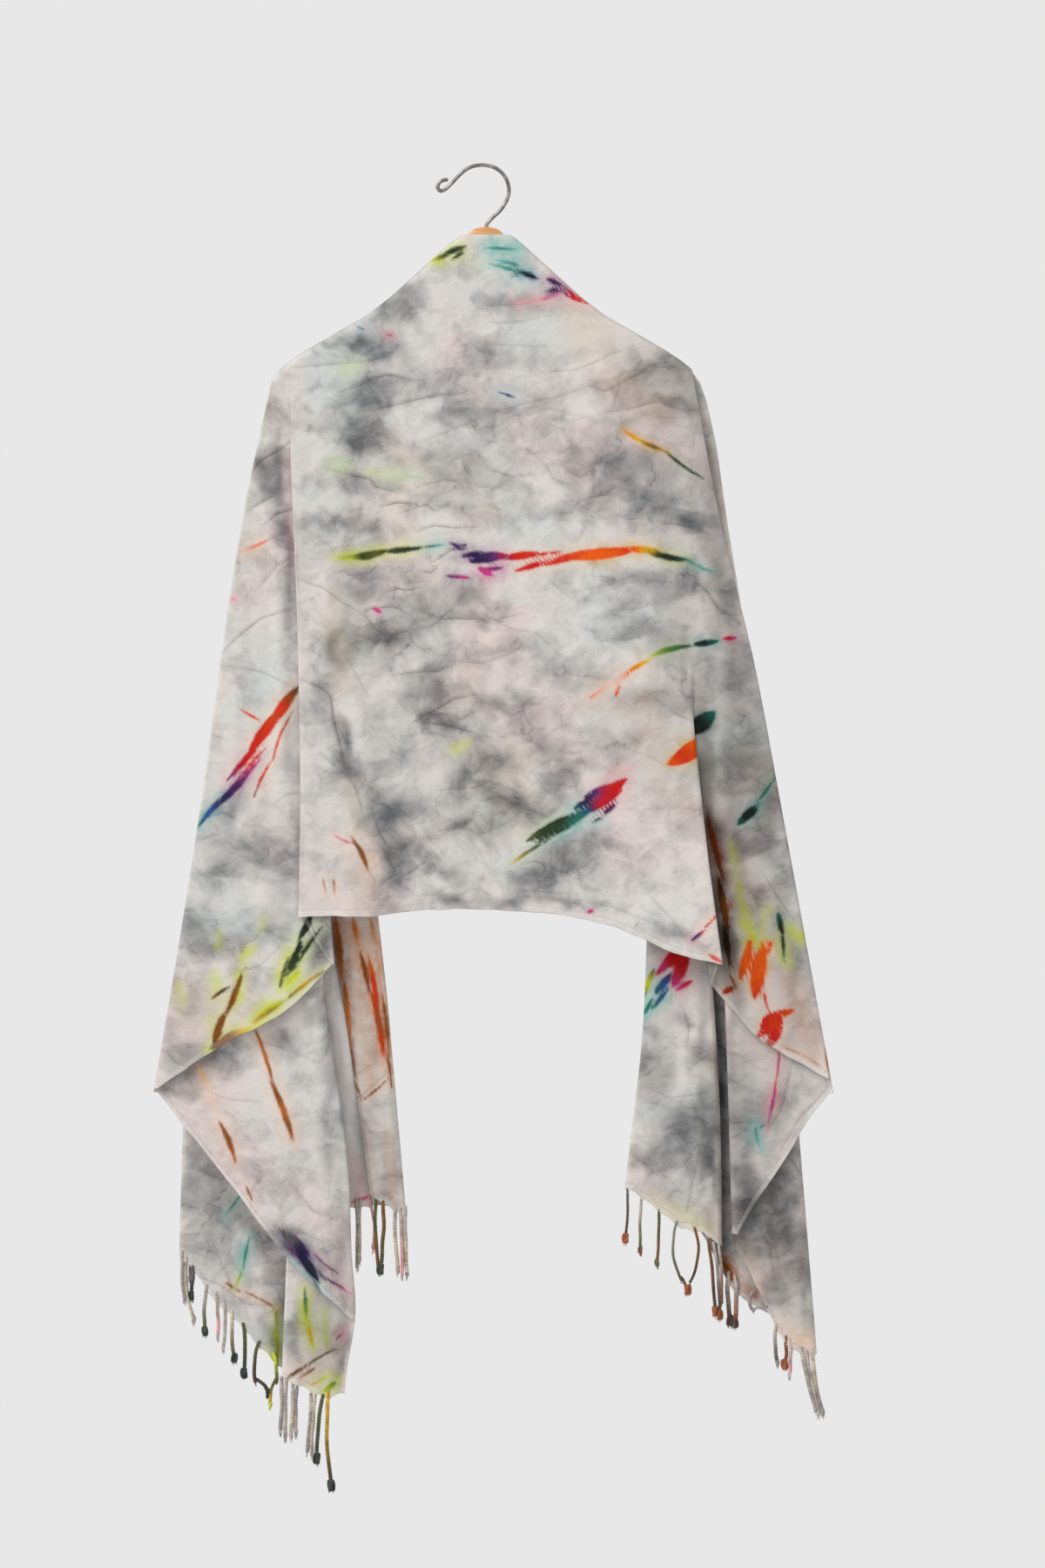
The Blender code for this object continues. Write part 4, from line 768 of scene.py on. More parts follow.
# Dark hairlines where dye ran into a crease: stretch, strength, points.
HAIRS = [
    ("centre_panel", 0.55, (330, 424), (380, 420), (420, 417), (446, 410)),
    ("centre_panel", 0.9, (396, 450), (414, 444), (432, 435), (447, 432), (466, 436)),
    ("centre_panel", 0.75, (410, 476), (450, 467), (492, 457), (541, 452), (528, 446)),
    ("centre_panel", 0.5, (555, 479), (600, 465), (640, 457), (660, 450), (682, 444)),
    ("centre_panel", 0.7, (558, 353), (600, 351), (626, 346), (650, 338)),
    ("centre_panel", 0.5, (625, 429), (660, 426), (682, 418), (702, 408), (722, 400)),
    ("centre_panel", 0.8, (670, 443), (684, 446), (692, 451), (700, 448), (735, 430), (746, 422), (778, 414)),
    ("centre_panel", 0.85, (690, 476), (730, 469), (756, 462), (768, 468), (790, 474)),
    ("centre_panel", 0.4, (740, 482), (800, 480)),
    ("centre_panel", 0.45, (565, 372), (590, 372), (622, 366)),
    ("centre_panel", 0.3, (550, 396), (590, 398), (640, 400)),
    ("centre_panel", 1.0, (380, 541), (400, 546), (426, 551), (433, 560), (456, 566)),
    ("centre_panel", 1.0, (440, 582), (458, 578), (482, 580)),
    ("centre_panel", 0.8, (482, 610), (500, 604), (520, 607), (546, 606)),
    ("centre_panel", 0.6, (460, 590), (490, 580), (500, 588), (520, 578)),
    ("centre_panel", 0.8, (498, 646), (514, 636), (526, 626)),
    ("centre_panel", 0.8, (484, 657), (497, 659), (504, 650)),
    ("centre_panel", 1.0, (446, 680), (458, 676), (466, 679), (482, 676)),
    ("centre_panel", 0.6, (340, 664), (372, 676), (396, 694), (414, 703)),
    ("centre_panel", 1.0, (414, 704), (432, 699), (452, 697), (470, 706)),
    ("centre_panel", 1.0, (430, 744), (438, 734), (446, 738), (452, 730), (472, 724)),
    ("centre_panel", 0.6, (418, 706), (432, 722), (446, 734)),
    ("centre_panel", 0.5, (366, 728), (388, 740), (404, 764), (424, 800)),
    ("centre_panel", 1.0, (344, 780), (370, 790), (381, 800), (384, 826), (392, 856), (398, 884)),
    ("centre_panel", 0.6, (370, 866), (396, 888)),
    ("centre_panel", 0.9, (396, 880), (410, 906), (418, 936)),
    ("centre_panel", 1.0, (428, 930), (436, 954), (446, 972), (462, 976), (474, 964)),
    ("centre_panel", 0.9, (436, 1018), (452, 1004), (470, 1003), (482, 994)),
    ("centre_panel", 0.9, (446, 982), (452, 996), (462, 1004)),
    ("centre_panel", 0.7, (418, 992), (432, 1010), (430, 1030)),
    ("centre_panel", 0.8, (488, 703), (506, 711), (530, 711), (572, 712), (600, 705)),
    ("centre_panel", 0.4, (560, 712), (592, 724), (616, 727), (642, 752)),
    ("centre_panel", 0.4, (616, 727), (592, 748), (556, 762), (520, 760)),
    ("centre_panel", 0.7, (450, 776), (478, 772), (502, 771), (522, 764)),
    ("centre_panel", 0.9, (476, 829), (500, 816), (522, 803), (548, 798)),
    ("centre_panel", 1.0, (476, 829), (510, 832), (546, 842)),
    ("centre_panel", 0.5, (566, 806), (596, 812), (616, 800)),
    ("centre_panel", 0.5, (596, 812), (600, 834), (602, 852)),
    ("centre_panel", 0.6, (536, 898), (552, 882), (560, 870), (584, 866)),
    ("centre_panel", 0.6, (500, 908), (520, 906), (548, 904), (562, 898)),
    ("centre_panel", 0.8, (562, 906), (580, 918), (602, 928), (622, 934), (634, 944)),
    ("centre_panel", 0.8, (604, 992), (612, 988), (624, 992), (630, 1006), (622, 1022)),
    ("centre_panel", 0.6, (618, 1000), (618, 1024)),
    ("centre_panel", 0.6, (646, 996), (638, 1016)),
    ("centre_panel", 0.8, (676, 573), (694, 569), (706, 560)),
    ("centre_panel", 0.4, (606, 516), (626, 534), (636, 552), (660, 560)),
    ("centre_panel", 0.5, (560, 540), (590, 548), (614, 546)),
    ("centre_panel", 0.8, (756, 600), (784, 604), (812, 614)),
    ("centre_panel", 0.5, (700, 702), (730, 700), (748, 694)),
    ("centre_panel", 0.5, (716, 720), (728, 724), (736, 736)),
    ("centre_panel", 0.4, (660, 680), (700, 672), (746, 668)),
    ("centre_panel", 0.4, (650, 1030), (700, 1040), (756, 1062)),
    ("centre_panel", 0.4, (742, 1024), (768, 1052), (790, 1082)),
    ("centre_panel", 0.35, (720, 860), (752, 872), (800, 900)),
    ("centre_panel", 0.4, (600, 480), (632, 470), (660, 478)),
    ("centre_panel", 0.4, (480, 510), (520, 495), (560, 478)),
    ("centre_panel", 0.5, (748, 800), (776, 820), (798, 830)),
    ("centre_panel", 0.5, (480, 560), (510, 552), (540, 556)),
    ("left_wing_front", 1.0, (334, 508), (318, 520), (300, 530), (290, 544)),
    ("left_wing_front", 0.8, (288, 586), (300, 578), (318, 569)),
    ("left_wing_front", 1.0, (308, 600), (320, 590), (337, 585)),
    ("left_wing_front", 0.5, (278, 636), (310, 620), (336, 610)),
    ("left_wing_front", 0.6, (300, 672), (320, 650), (336, 640)),
    ("left_wing_front", 0.7, (252, 754), (275, 731), (300, 711), (340, 698)),
    ("left_wing_front", 0.45, (250, 764), (300, 771), (344, 792)),
    ("left_wing_front", 0.4, (240, 842), (262, 850)),
    ("left_wing_front", 0.5, (318, 922), (330, 912), (348, 910)),
    ("left_wing_front", 0.4, (262, 1120), (300, 1108), (330, 1080)),
    ("centre_panel", 0.8, (796, 668), (812, 680), (824, 700), (848, 716)),
    ("centre_panel", 0.5, (838, 770), (856, 790)),
    ("right_wing_front", 0.6, (878, 1006), (892, 1030), (912, 1056)),
    ("right_wing_front", 0.6, (840, 1158), (862, 1184), (898, 1208)),
    ("left_wing_back", 0.5, (236, 1250), (262, 1262), (300, 1264)),
    ("left_wing_back", 0.5, (300, 1414), (340, 1410), (370, 1424)),
    ("left_wing_back", 0.5, (300, 1200), (322, 1260), (338, 1310)),
    ("left_wing_back", 0.4, (330, 1352), (360, 1390), (384, 1400)),
    ("left_tail_outer", 0.7, (206, 1460), (250, 1476), (284, 1500), (316, 1500)),
    ("left_tail_outer", 0.5, (240, 1420), (262, 1470), (270, 1500)),
    ("left_tail_front", 0.8, (330, 1586), (356, 1566), (386, 1546)),
    ("right_strip", 0.6, (786, 1160), (792, 1180), (790, 1200)),
    ("right_strip", 0.5, (744, 1250), (770, 1262), (810, 1256)),
    ("right_strip", 0.5, (812, 1290), (800, 1340), (790, 1390)),
    ("right_wing_back", 0.6, (910, 1216), (898, 1270), (880, 1300)),
    ("right_wing_back", 0.6, (950, 1250), (920, 1280), (896, 1320)),
    ("right_tail_front", 0.8, (898, 1322), (912, 1336), (920, 1350)),
    ("right_tail_front", 0.6, (866, 1400), (884, 1430), (890, 1470)),
    ("left_strip", 0.8, (400, 1290), (410, 1262), (430, 1248), (450, 1226)),
    ("left_strip", 0.6, (430, 1080), (438, 1150), (446, 1220)),
]


# Painted shade: the cloth's colour is made darker all over in the valleys, behind other layers and on the right wing
# that turns from the light; in a few places it darkens the dye tone as well.
PAINTED_SHADES = [
    ("right_wing_front", 850, 760, 80, 460, 8, 0.46), ("right_wing_front", 880, 1060, 70, 200, 8, 0.20),
    ("right_wing_front", 806, 880, 13, 110, -4, 0.62), ("right_wing_front", 820, 1010, 15, 120, -8, 0.72),
    ("right_wing_front", 838, 1110, 10, 50, -10, 0.45), ("right_wing_front", 830, 1062, 8, 64, -7, 0.42), ("right_wing_front", 806, 760, 10, 90, -4, 0.3),
    ("right_turn", 800, 950, 40, 300, -6, 0.7),
    ("centre_panel", 790, 560, 60, 260, 0, 0.20), ("centre_panel", 780, 450, 60, 60, 0, 0.16),
    ("centre_panel", 786, 760, 12, 130, -2, 0.2), ("centre_panel", 750, 620, 10, 90, 0, -0.16),
    ("centre_panel", 345, 900, 12, 180, 0, 0.05),
    ("right_tail_front", 816, 545, 13, 130, -10, 0.42), ("right_tail_front", 890, 1430, 80, 110, -20, 0.30),
    ("right_tail_front", 846, 1430, 14, 50, 0, 0.5), ("right_tail_front", 912, 1300, 30, 30, 0, 0.35),
    ("right_back", 828, 1270, 22, 240, 0, 0.48), ("right_back", 812, 540, 18, 160, -10, 0.5),
    ("right_strip", 780, 1240, 60, 200, 0, 0.08), ("right_strip", 818, 1290, 10, 160, -2, 0.45),
    ("right_strip", 745, 1120, 60, 26, 0, 0.25),
    ("right_wing_back", 870, 1270, 60, 160, 10, 0.24), ("right_wing_back", 838, 1240, 10, 120, 0, 0.35),
    ("left_wing_front", 336, 620, 8, 110, -2, 0.26), ("left_wing_front", 322, 470, 8, 60, 0, 0.25),
    ("left_wing_front", 340, 860, 8, 160, 0, 0.2), ("left_wing_front", 372, 1080, 12, 50, 10, 0.3),
    ("left_turn", 344, 800, 30, 300, 0, 0.5),
    ("left_wing_back", 380, 1240, 14, 110, 0, 0.3), ("left_wing_back", 250, 1230, 70, 12, -26, 0.3),
    ("left_wing_back", 350, 1160, 40, 16, -30, 0.3), ("left_wing_back", 390, 1440, 14, 60, 0, 0.25),
    ("left_tail_outer", 322, 1520, 14, 80, 6, 0.62), ("left_tail_outer", 230, 1380, 40, 120, 10, 0.16),
    ("left_tail_outer", 280, 1400, 14, 60, -30, 0.3),
    ("left_tail_front", 370, 1540, 40, 60, 0, 0.34), ("left_tail_front", 390, 1540, 8, 60, 0, 0.25),
    ("left_strip", 388, 1120, 8, 90, -4, 0.22), ("left_strip", 420, 1160, 50, 130, 0, 0.08),
    ("left_strip", 430, 1320, 40, 90, 0, 0.16), ("left_back", 380, 1240, 4, 160, -4, 0.30),
    ("centre_panel", 820, 600, 22, 110, -4, 0.34), ("centre_panel", 842, 730, 26, 110, -6, 0.40),
    ("centre_panel", 740, 862, 60, 56, 0, 0.16), ("centre_panel", 393, 742, 12, 52, -4, 0.42),
    ("right_wing_front", 916, 1160, 26, 70, -6, 0.28), ("right_wing_back", 854, 1382, 20, 44, 8, 0.42),
    ("centre_panel", 505, 830, 60, 50, 0, 0.06), ("left_strip", 420, 1140, 40, 100, 0, 0.02),
]


def hidden_marks():
    """Like marks and clouds for the stretches that only show from behind."""
    rng, shade = random.Random(41), random.Random(43)
    sets = ("redorange orange gold", "darkgreen olive lime", "navy purple magenta", "teal blackgreen aqua",
            "red redorange orange gold darkgreen", "teal blue navy purple red")
    halos = ("peach", "lime", "pink", "aqua", "gold", "pink")
    spots = (("left_back", 250, 520, 430, 1380), ("right_back", 680, 520, 900, 1420),
             ("left_back", 320, 420, 420, 700), ("right_back", 690, 420, 790, 700))
    marks, clouds = [], []
    for name, c0, r0, c1, r1 in spots:
        # splashes: a few strokes end to end along one direction, some beside it
        for _ in range(3):
            c, r = rng.uniform(c0, c1), rng.uniform(r0, r1)
            angle = rng.choice((0.05, 2.45, -0.6, 1.35)) + rng.uniform(-0.15, 0.15)
            k = rng.randrange(len(sets))
            width = rng.uniform(1.8, 4.6)
            for step in range(rng.randrange(2, 5)):
                length = rng.uniform(20, 52)
                beside = rng.uniform(-5, 5)
                if not (372 < c < 450 and r > 1000 or 806 < c < 852):
                    a = c - beside * math.sin(angle), r + beside * math.cos(angle)
                    marks.append((name, a[0], a[1], a[0] + length * math.cos(angle), a[1] + length * math.sin(angle),
                                  width * rng.uniform(0.6, 1.1), rng.uniform(-3, 3), sets[(k + step) % len(sets)],
                                  halos[(k + step) % len(sets)], 8, 0.35))
                c += 0.8 * length * math.cos(angle)
                r += 0.8 * length * math.sin(angle)
        for _ in range(22):
            cloud = (name, shade.uniform(c0 - 20, c1 + 20), shade.uniform(r0, r1), shade.uniform(16, 44),
                     shade.uniform(10, 30), shade.uniform(-40, 40), shade.uniform(0.25, 0.6))
            if name == "left_back" and cloud[1] > 335 and cloud[2] > 1000:
                continue
            clouds.append(cloud)
    return marks, clouds


EXTRA_MARKS, EXTRA_CLOUDS = hidden_marks()
LIGHT_GAIN = 1.06     # how bright a white face comes out, for matching dyes


def linear(name):
    out = []
    for v in PALETTE[name]:
        v /= 255
        out.append((v / 12.92 if v <= 0.04045 else ((v + 0.055) / 1.055) ** 2.4) / LIGHT_GAIN)
    return np.array(out)


def mark_frames(marks):
    """For each mark the middle and direction of the splash it belongs to, so
    that the streaks of one splash run on without a break."""
    n = len(marks)
    group = list(range(n))

    def root(i):
        while group[i] != i:
            i = group[i]
        return i

    size = [math.hypot(m[3] - m[1], m[4] - m[2]) for m in marks]
    middle = [((m[1] + m[3]) / 2, (m[2] + m[4]) / 2) for m in marks]
    for i in range(n):
        for j in range(i + 1, n):
            if marks[i][0] != marks[j][0]:
                continue
            gap = math.hypot(middle[i][0] - middle[j][0], middle[i][1] - middle[j][1])
            if gap < 0.5 * (size[i] + size[j]) + 12:
                group[root(j)] = root(i)
    frames = []
    for i in range(n):
        own = [j for j in range(n) if root(j) == root(i)]
        weight = sum(size[j] for j in own)
        cx = sum(middle[j][0] * size[j] for j in own) / weight
        cy = sum(middle[j][1] * size[j] for j in own) / weight
        dx = dy = 0.0
        for j in own:
            a = 2 * math.atan2(marks[j][4] - marks[j][2], marks[j][3] - marks[j][1])
            dx, dy = dx + size[j] * math.cos(a), dy + size[j] * math.sin(a)
        a = math.atan2(dy, dx) / 2
        frames.append((cx, cy, math.cos(a), math.sin(a)))
    return frames


FRAMES = mark_frames(MARKS + EXTRA_MARKS)
WARP_A = wave_set(21, 16, 16, 90)
WARP_B = wave_set(22, 16, 16, 90)


def dye_fields(name, x, drop):
    """Arrays for one stretch: core colour, core field, halo colour, halo
    strength, grey cloud, hairline distance and strength, stroke frame,
    and painted shade for valleys and layers behind."""
    n = len(x)
    turn, name = name, {"left_turn": "left_wing_front", "right_turn": "right_wing_front"}.get(name, name)
    col, row = x / SQUARE + COL0, drop / SQUARE + ROW0
    core = np.zeros((n, 3)) + linear("white") * 1e-12
    weights = np.full(n, 1e-12)
    field = np.full(n, -900.0)
    stroke = np.zeros((n, 5))
    halo = np.zeros((n, 3)) + linear("white") * 1e-12
    glows = np.full(n, 1e-12)
    strength = np.zeros(n)
    for number, (item, (cx, cy, ux, uy)) in enumerate(zip(MARKS + EXTRA_MARKS, FRAMES)):
        stretch, c0, r0, c1, r1, half, bow, names, halo_name, reach, amount = item
        if stretch != name:
            continue
        s, across, away, length = segment_field(col, row, c0, r0, c1, r1)
        c = np.clip(s, 0, 1)
        across = across - bow * 4 * c * (1 - c)
        width = half * np.sin(np.pi * np.clip(c * 0.94 + 0.03, 0, 1)) ** (0.75 if half > 0 else 0)
        over = np.maximum(0, np.maximum(-s, s - 1)) * length
        f = width - np.abs(across) - over
        stops = [linear(k) for k in names.split()]
        pos = np.linspace(0, 1, len(stops))
        colour = np.stack([np.interp(c, pos, [k[i] for k in stops]) for i in range(3)], 1)
        weight = np.exp(np.clip(f, -24, 24) / 1.3)
        core += colour * weight[:, None]
        weights += weight
        better = f > field
        stroke[better, 0] = across[better]
        stroke[better, 1] = (width - over)[better]
        stroke[better, 2] = ((col - cx) * ux + (row - cy) * uy)[better]
        stroke[better, 3] = ((row - cy) * ux - (col - cx) * uy)[better]
        stroke[better, 4] = number * 7 % 101
        field = np.maximum(field, f)
        glow = amount * np.exp(-(np.maximum(-f, 0) / reach) ** 2)
        halo += linear(halo_name) * (glow ** 2)[:, None]
        glows += glow ** 2
        strength += glow ** 4
    core = core / weights[:, None]
    halo = halo / glows[:, None]
    strength = np.minimum(strength ** 0.25, 0.95)
    wide_col, wide_row = col, row
    col = wide_col + 4.5 * relief(WARP_A, x, drop)
    row = wide_row + 4.5 * relief(WARP_B, x, drop)
    cloud = np.zeros(n)
    for stretch, c0, r0, rx, ry, tilt, amount in CLOUDS + EXTRA_CLOUDS:
        if stretch != name:
            continue
        a = math.radians(tilt)
        dx, dz = col - c0, row - r0
        p, q = dx * math.cos(a) + dz * math.sin(a), -dx * math.sin(a) + dz * math.cos(a)
        cloud = 1 - (1 - cloud) * (1 - amount * np.exp(-((p / rx) ** 2 + (q / ry) ** 2)))
    # painted shade from the table: darker colour in the valleys and behind other layers
    shade = np.zeros(n)
    for stretch, c0, r0, rx, ry, tilt, amount in PAINTED_SHADES:
        if stretch not in (name, turn):
            continue
        a = math.radians(tilt)
        dx, dz = col - c0, row - r0
        p, q = dx * math.cos(a) + dz * math.sin(a), -dx * math.sin(a) + dz * math.cos(a)
        shade = 1 - (1 - shade) * (1 - amount * np.exp(-((p / rx) ** 2 + (q / ry) ** 2) ** 1.5))
    col, row = wide_col, wide_row
    hair = np.full(n, 9.0)
    ink = np.zeros(n)
    best = np.full(n, 1e9)
    for stretch, amount, *points in HAIRS:
        if stretch != name:
            continue
        parts = list(zip(points, points[1:]))
        for i, (p, q) in enumerate(parts):
            s, across, away, length = segment_field(col, row, *p, *q)
            take = away < best
            best[take] = away[take]
            hair[take] = across[take]
            total = (i + np.clip(s, 0, 1)) / len(parts)
            fade = np.sin(np.pi * np.clip(total * 0.92 + 0.04, 0, 1)) ** 0.5
            ink[take] = (amount * fade * smooth((5.5 - away) / 3.5))[take]
    return core, field, halo, strength, cloud, hair, ink, stroke, shade


# ------------------------------------------------------------------ the sheets
def stations(count, top_dense, hem_dense):
    """Fractions down a sheet: closer at the top when top_dense is set."""
    t = np.linspace(0, 1, count)
    if top_dense:
        t = 0.86 * t + 0.14 * t ** 3
    return t


def foot_of(name, u):
    if name == "centre_panel":
        return spline(PANEL_HEM, u)
    return spline(STRETCHES[name][4], u)


SCALLOPS = {}


def sheet_grid(names, flats, rows, over_arm=None, hem_rows=10, turn=5):
    """Points, layer names and edge distances for a sheet of one or more
    stretches joined at their folds."""
    cols = columns_for(names, flats, turn)
    n = len(cols)
    front = "centre_panel" in [s.lstrip("-") for s in names]
    down = []
    for col in cols:
        # fraction across the stretch in its own table's direction
        signed = [s for s in names if s.lstrip("-") == col.name][0]
        if col.kind == "flat":
            u = col.f if signed[0] != "-" else 1 - col.f
        else:
            a, b = ends_of(col.name)
            u = 0.0 if col.fold == a else 1.0
        foot = float(foot_of(col.name, u))
        scallop = SCALLOPS.get(col.name)
        if scallop:
            x_foot = float(col.place(np.array([foot]))[0][0])
            near = min(abs(x_foot - s) for s in scallop)
            foot += 3.0 * math.exp(-(near / 3.2) ** 2) - 1.6
        if over_arm:
            level = np.array([216.0])
            x_level, y_level = col.place(level)
            if front:
                x_level, y_level, _ = open_flat(cols, len(down), level, x_level, y_level)
            x_top = float(x_level[0])
            if not front:
                side = 1 if col.name.startswith("right") else -1
                outer = HANGER_CENTRE + (HANGER_HALF + 6) * side
                inner = fold_x(col.name.split("_")[0] + "_edge", NECK_LINE)
                x_top = outer + (float(inner) - outer) * u
            top = float(ridge_drop(x_top)) + 2.4 * float(smooth((abs(x_top - HANGER_CENTRE) - 24) / 40))
            if front:
                top = max(top, NECK_LINE)
            elif side < 0:
                top += 14 * (1 - float(smooth(u / 0.12)))
        else:
            x_top = None
            top = STRETCHES[col.name][3]
            if col.name == "right_tail_front":
                top -= 20 * float(smooth((u - 0.3) / 0.7))
        down.append((u, top, foot, x_top))
    t = stations(rows, bool(over_arm), True)
    pts = np.zeros((rows + hem_rows, n, 3))
    edge = np.zeros((rows + hem_rows, n))
    layer = []
    drops = np.zeros((rows + hem_rows, n))
    turned = np.ones((rows + hem_rows, n))
    for j, (col, (u, top, foot, x_top)) in enumerate(zip(cols, down)):
        hem = np.linspace(1, 0, hem_rows + 1)[:-1] * 10.0
        body = top + (foot - 10.0 - (10.0 / hem_rows) - top) * t
        drop = np.concatenate([body, foot - hem + 10.0 / hem_rows])
        drops[:, j] = drop
        x, y = col.place(drop)
        x, y = np.array(x, float), np.array(y, float)
        if front:
            x, y, turned[:, j] = open_flat(cols, j, drop, x, y)
            arm = smooth((abs(x_top - HANGER_CENTRE - 3) - 22) / 12)
            curl = np.clip((drop - top) / 9.0, 0, 1)
            bent = -np.sqrt(np.maximum(1 - (1 - curl) ** 2, 0)) * np.abs(y)
            y = y + (np.minimum(bent, -0.15) - y) * arm
        elif over_arm:
            near = (1 - smooth((drop - top) / 150)) * float(smooth(u / 0.12))
            x = x + (x_top - x) * near
            y_arm = float(by_drop(STRETCHES[col.name][2], 215))
            y = y + (y_arm - y) * near
            lowered = 14 * (1 - float(smooth(u / 0.12))) if col.name.startswith("left") else 0.0
            curl = np.clip((drop - top + lowered) / 9.0, 0, 1)
            y = y * np.sqrt(np.maximum(1 - (1 - curl) ** 2, 0))
            y = np.maximum(y, 0.15)
        pts[:, j, 0], pts[:, j, 1], pts[:, j, 2] = x, y, -drop
        edge[:, j] = foot - drop
        layer.append(col.name)
    return cols, pts, drops, edge, layer, turned


def open_flat(cols, j, drop, x, y):
    """Near the arm the two side pleats open out, so the cloth runs flat from
    the panel into the wings."""
    kinds = [c.name for c in cols]
    first = min(k for k, c in enumerate(cols) if c.name == "centre_panel" and c.kind == "flat")
    last = max(k for k, c in enumerate(cols) if c.name == "centre_panel" and c.kind == "flat")
    n = len(cols) - 1
    flat_left = [k for k, c in enumerate(cols) if c.kind == "flat" and c.name == "left_wing_front"]
    flat_right = [k for k, c in enumerate(cols) if c.kind == "flat" and c.name == "right_wing_front"]
    lt, rt = fold_x("left_tip", np.maximum(drop, 211)), fold_x("right_tip", np.maximum(drop, 214))
    lp = fold_x("left_front", np.maximum(drop, 211))
    rp = fold_x("right_front", np.maximum(drop, 214))
    zone = 5.0
    if j < first:
        w = smooth((drop - 214) / 95)
        a, b = flat_left[0], flat_left[-1]
        left_end = lp - np.minimum(zone, 0.5 * np.abs(lp - lt))
        if j <= b:
            f = min(max(j / b, 0), 1)
            xf = lt + (left_end - lt) * f
        else:
            f = (j - b) / (first - b)
            xf = left_end + (lp + zone - left_end) * f
        yf = panel_depth(0.0, drop)
    elif j > last:
        w = smooth((drop - 470) / 170)
        a, b = flat_right[0], flat_right[-1]
        right_end = rp + np.minimum(zone, 0.5 * np.abs(rt - rp))
        if j >= a:
            f = (j - a) / (n - a)
            xf = right_end + (rt - right_end) * f
        else:
            f = (j - last) / (a - last)
            xf = rp - zone + (right_end - rp + zone) * f
        yf = panel_depth(1.0, drop)
    else:
        u = (j - first) / (last - first)
        w = smooth((drop - 214) / 95) * (1 - u) + smooth((drop - 470) / 170) * u
        xf = lp + zone + (rp - lp - 2 * zone) * u
        yf = panel_depth(u, drop)
    return xf + (x - xf) * w, yf + (y - yf) * w, w


FRONT = ("left_wing_front", "left_turn", "centre_panel", "right_turn", "right_wing_front")


def dress(cols, pts, drops, edge, layer, turned, hem_names=()):
    """Adds waves, creases and turned hems to a grid of points."""
    rows, n, _ = pts.shape
    names = np.array(layer)
    out = np.zeros((rows, n))
    for name in sorted(set(layer)):
        pick = names == name
        x, drop = pts[:, pick, 0], drops[:, pick]
        swell, fine = SWELL[name]
        height = crease_height(name, x, drop)
        if name in FRONT and name != "centre_panel":
            w = turned[:, pick]
            height = height * w + crease_height("centre_panel", x, drop) * (1 - w)
        shift = 0.0 if name in FRONT else sum(map(ord, name)) % 97 * 13.0
        height = height + swell * 0.6 * relief(BROAD, x + shift, drop + 2 * shift)
        height = height + fine * relief(FINE, x + shift, drop)
        out[:, pick] = height
    # held by the arm at the top, and by the folds at the sides
    top = drops[:1, :]
    free = smooth((drops - top - 4) / 60) * 0.85 + 0.15 * smooth((drops - top) / 12)
    # ease from the flats into the turns
    ease = np.ones(n)
    for j in range(n):
        if cols[j].kind == "turn":
            ease[j] = 0
    for _ in range(3):
        k = np.convolve(np.pad(ease, 2, mode="edge"), np.ones(5) / 5, mode="valid")
        ease = np.minimum(ease, k)
    raw = out * free * (1 - turned * (1 - ease[None, :]))
    # a turned hem: the cloth is doubled for 8 mm and pulled in at the stitches
    for name in hem_names:
        pick = names == name
        e = edge[:, pick]
        x = pts[:, pick, 0]
        band = smooth((8.6 - e) / 1.4)
        pucker = 0.25 * relief(FINE, x * 2.3, e * 0.2 + 50)
        raw[:, pick] += band * (0.45 + pucker * 0.7) - 0.5 * np.exp(-((e - 7.6) / 1.0) ** 2)
    sign = np.where(np.isin(names, BACKS), 1.0, -1.0)[None, :]
    moved = pts.copy()
    moved[:, :, 1] += sign * raw
    # hems and fringe edges are never dead straight
    wobble = 0.7 * relief(wave_set(11, 12, 22, 120), pts[:, :, 0], pts[:, :, 0] * 0.3)
    moved[:, :, 2] += wobble * smooth((40 - edge) / 40)
    return moved


BACKS = ("left_back", "right_back")


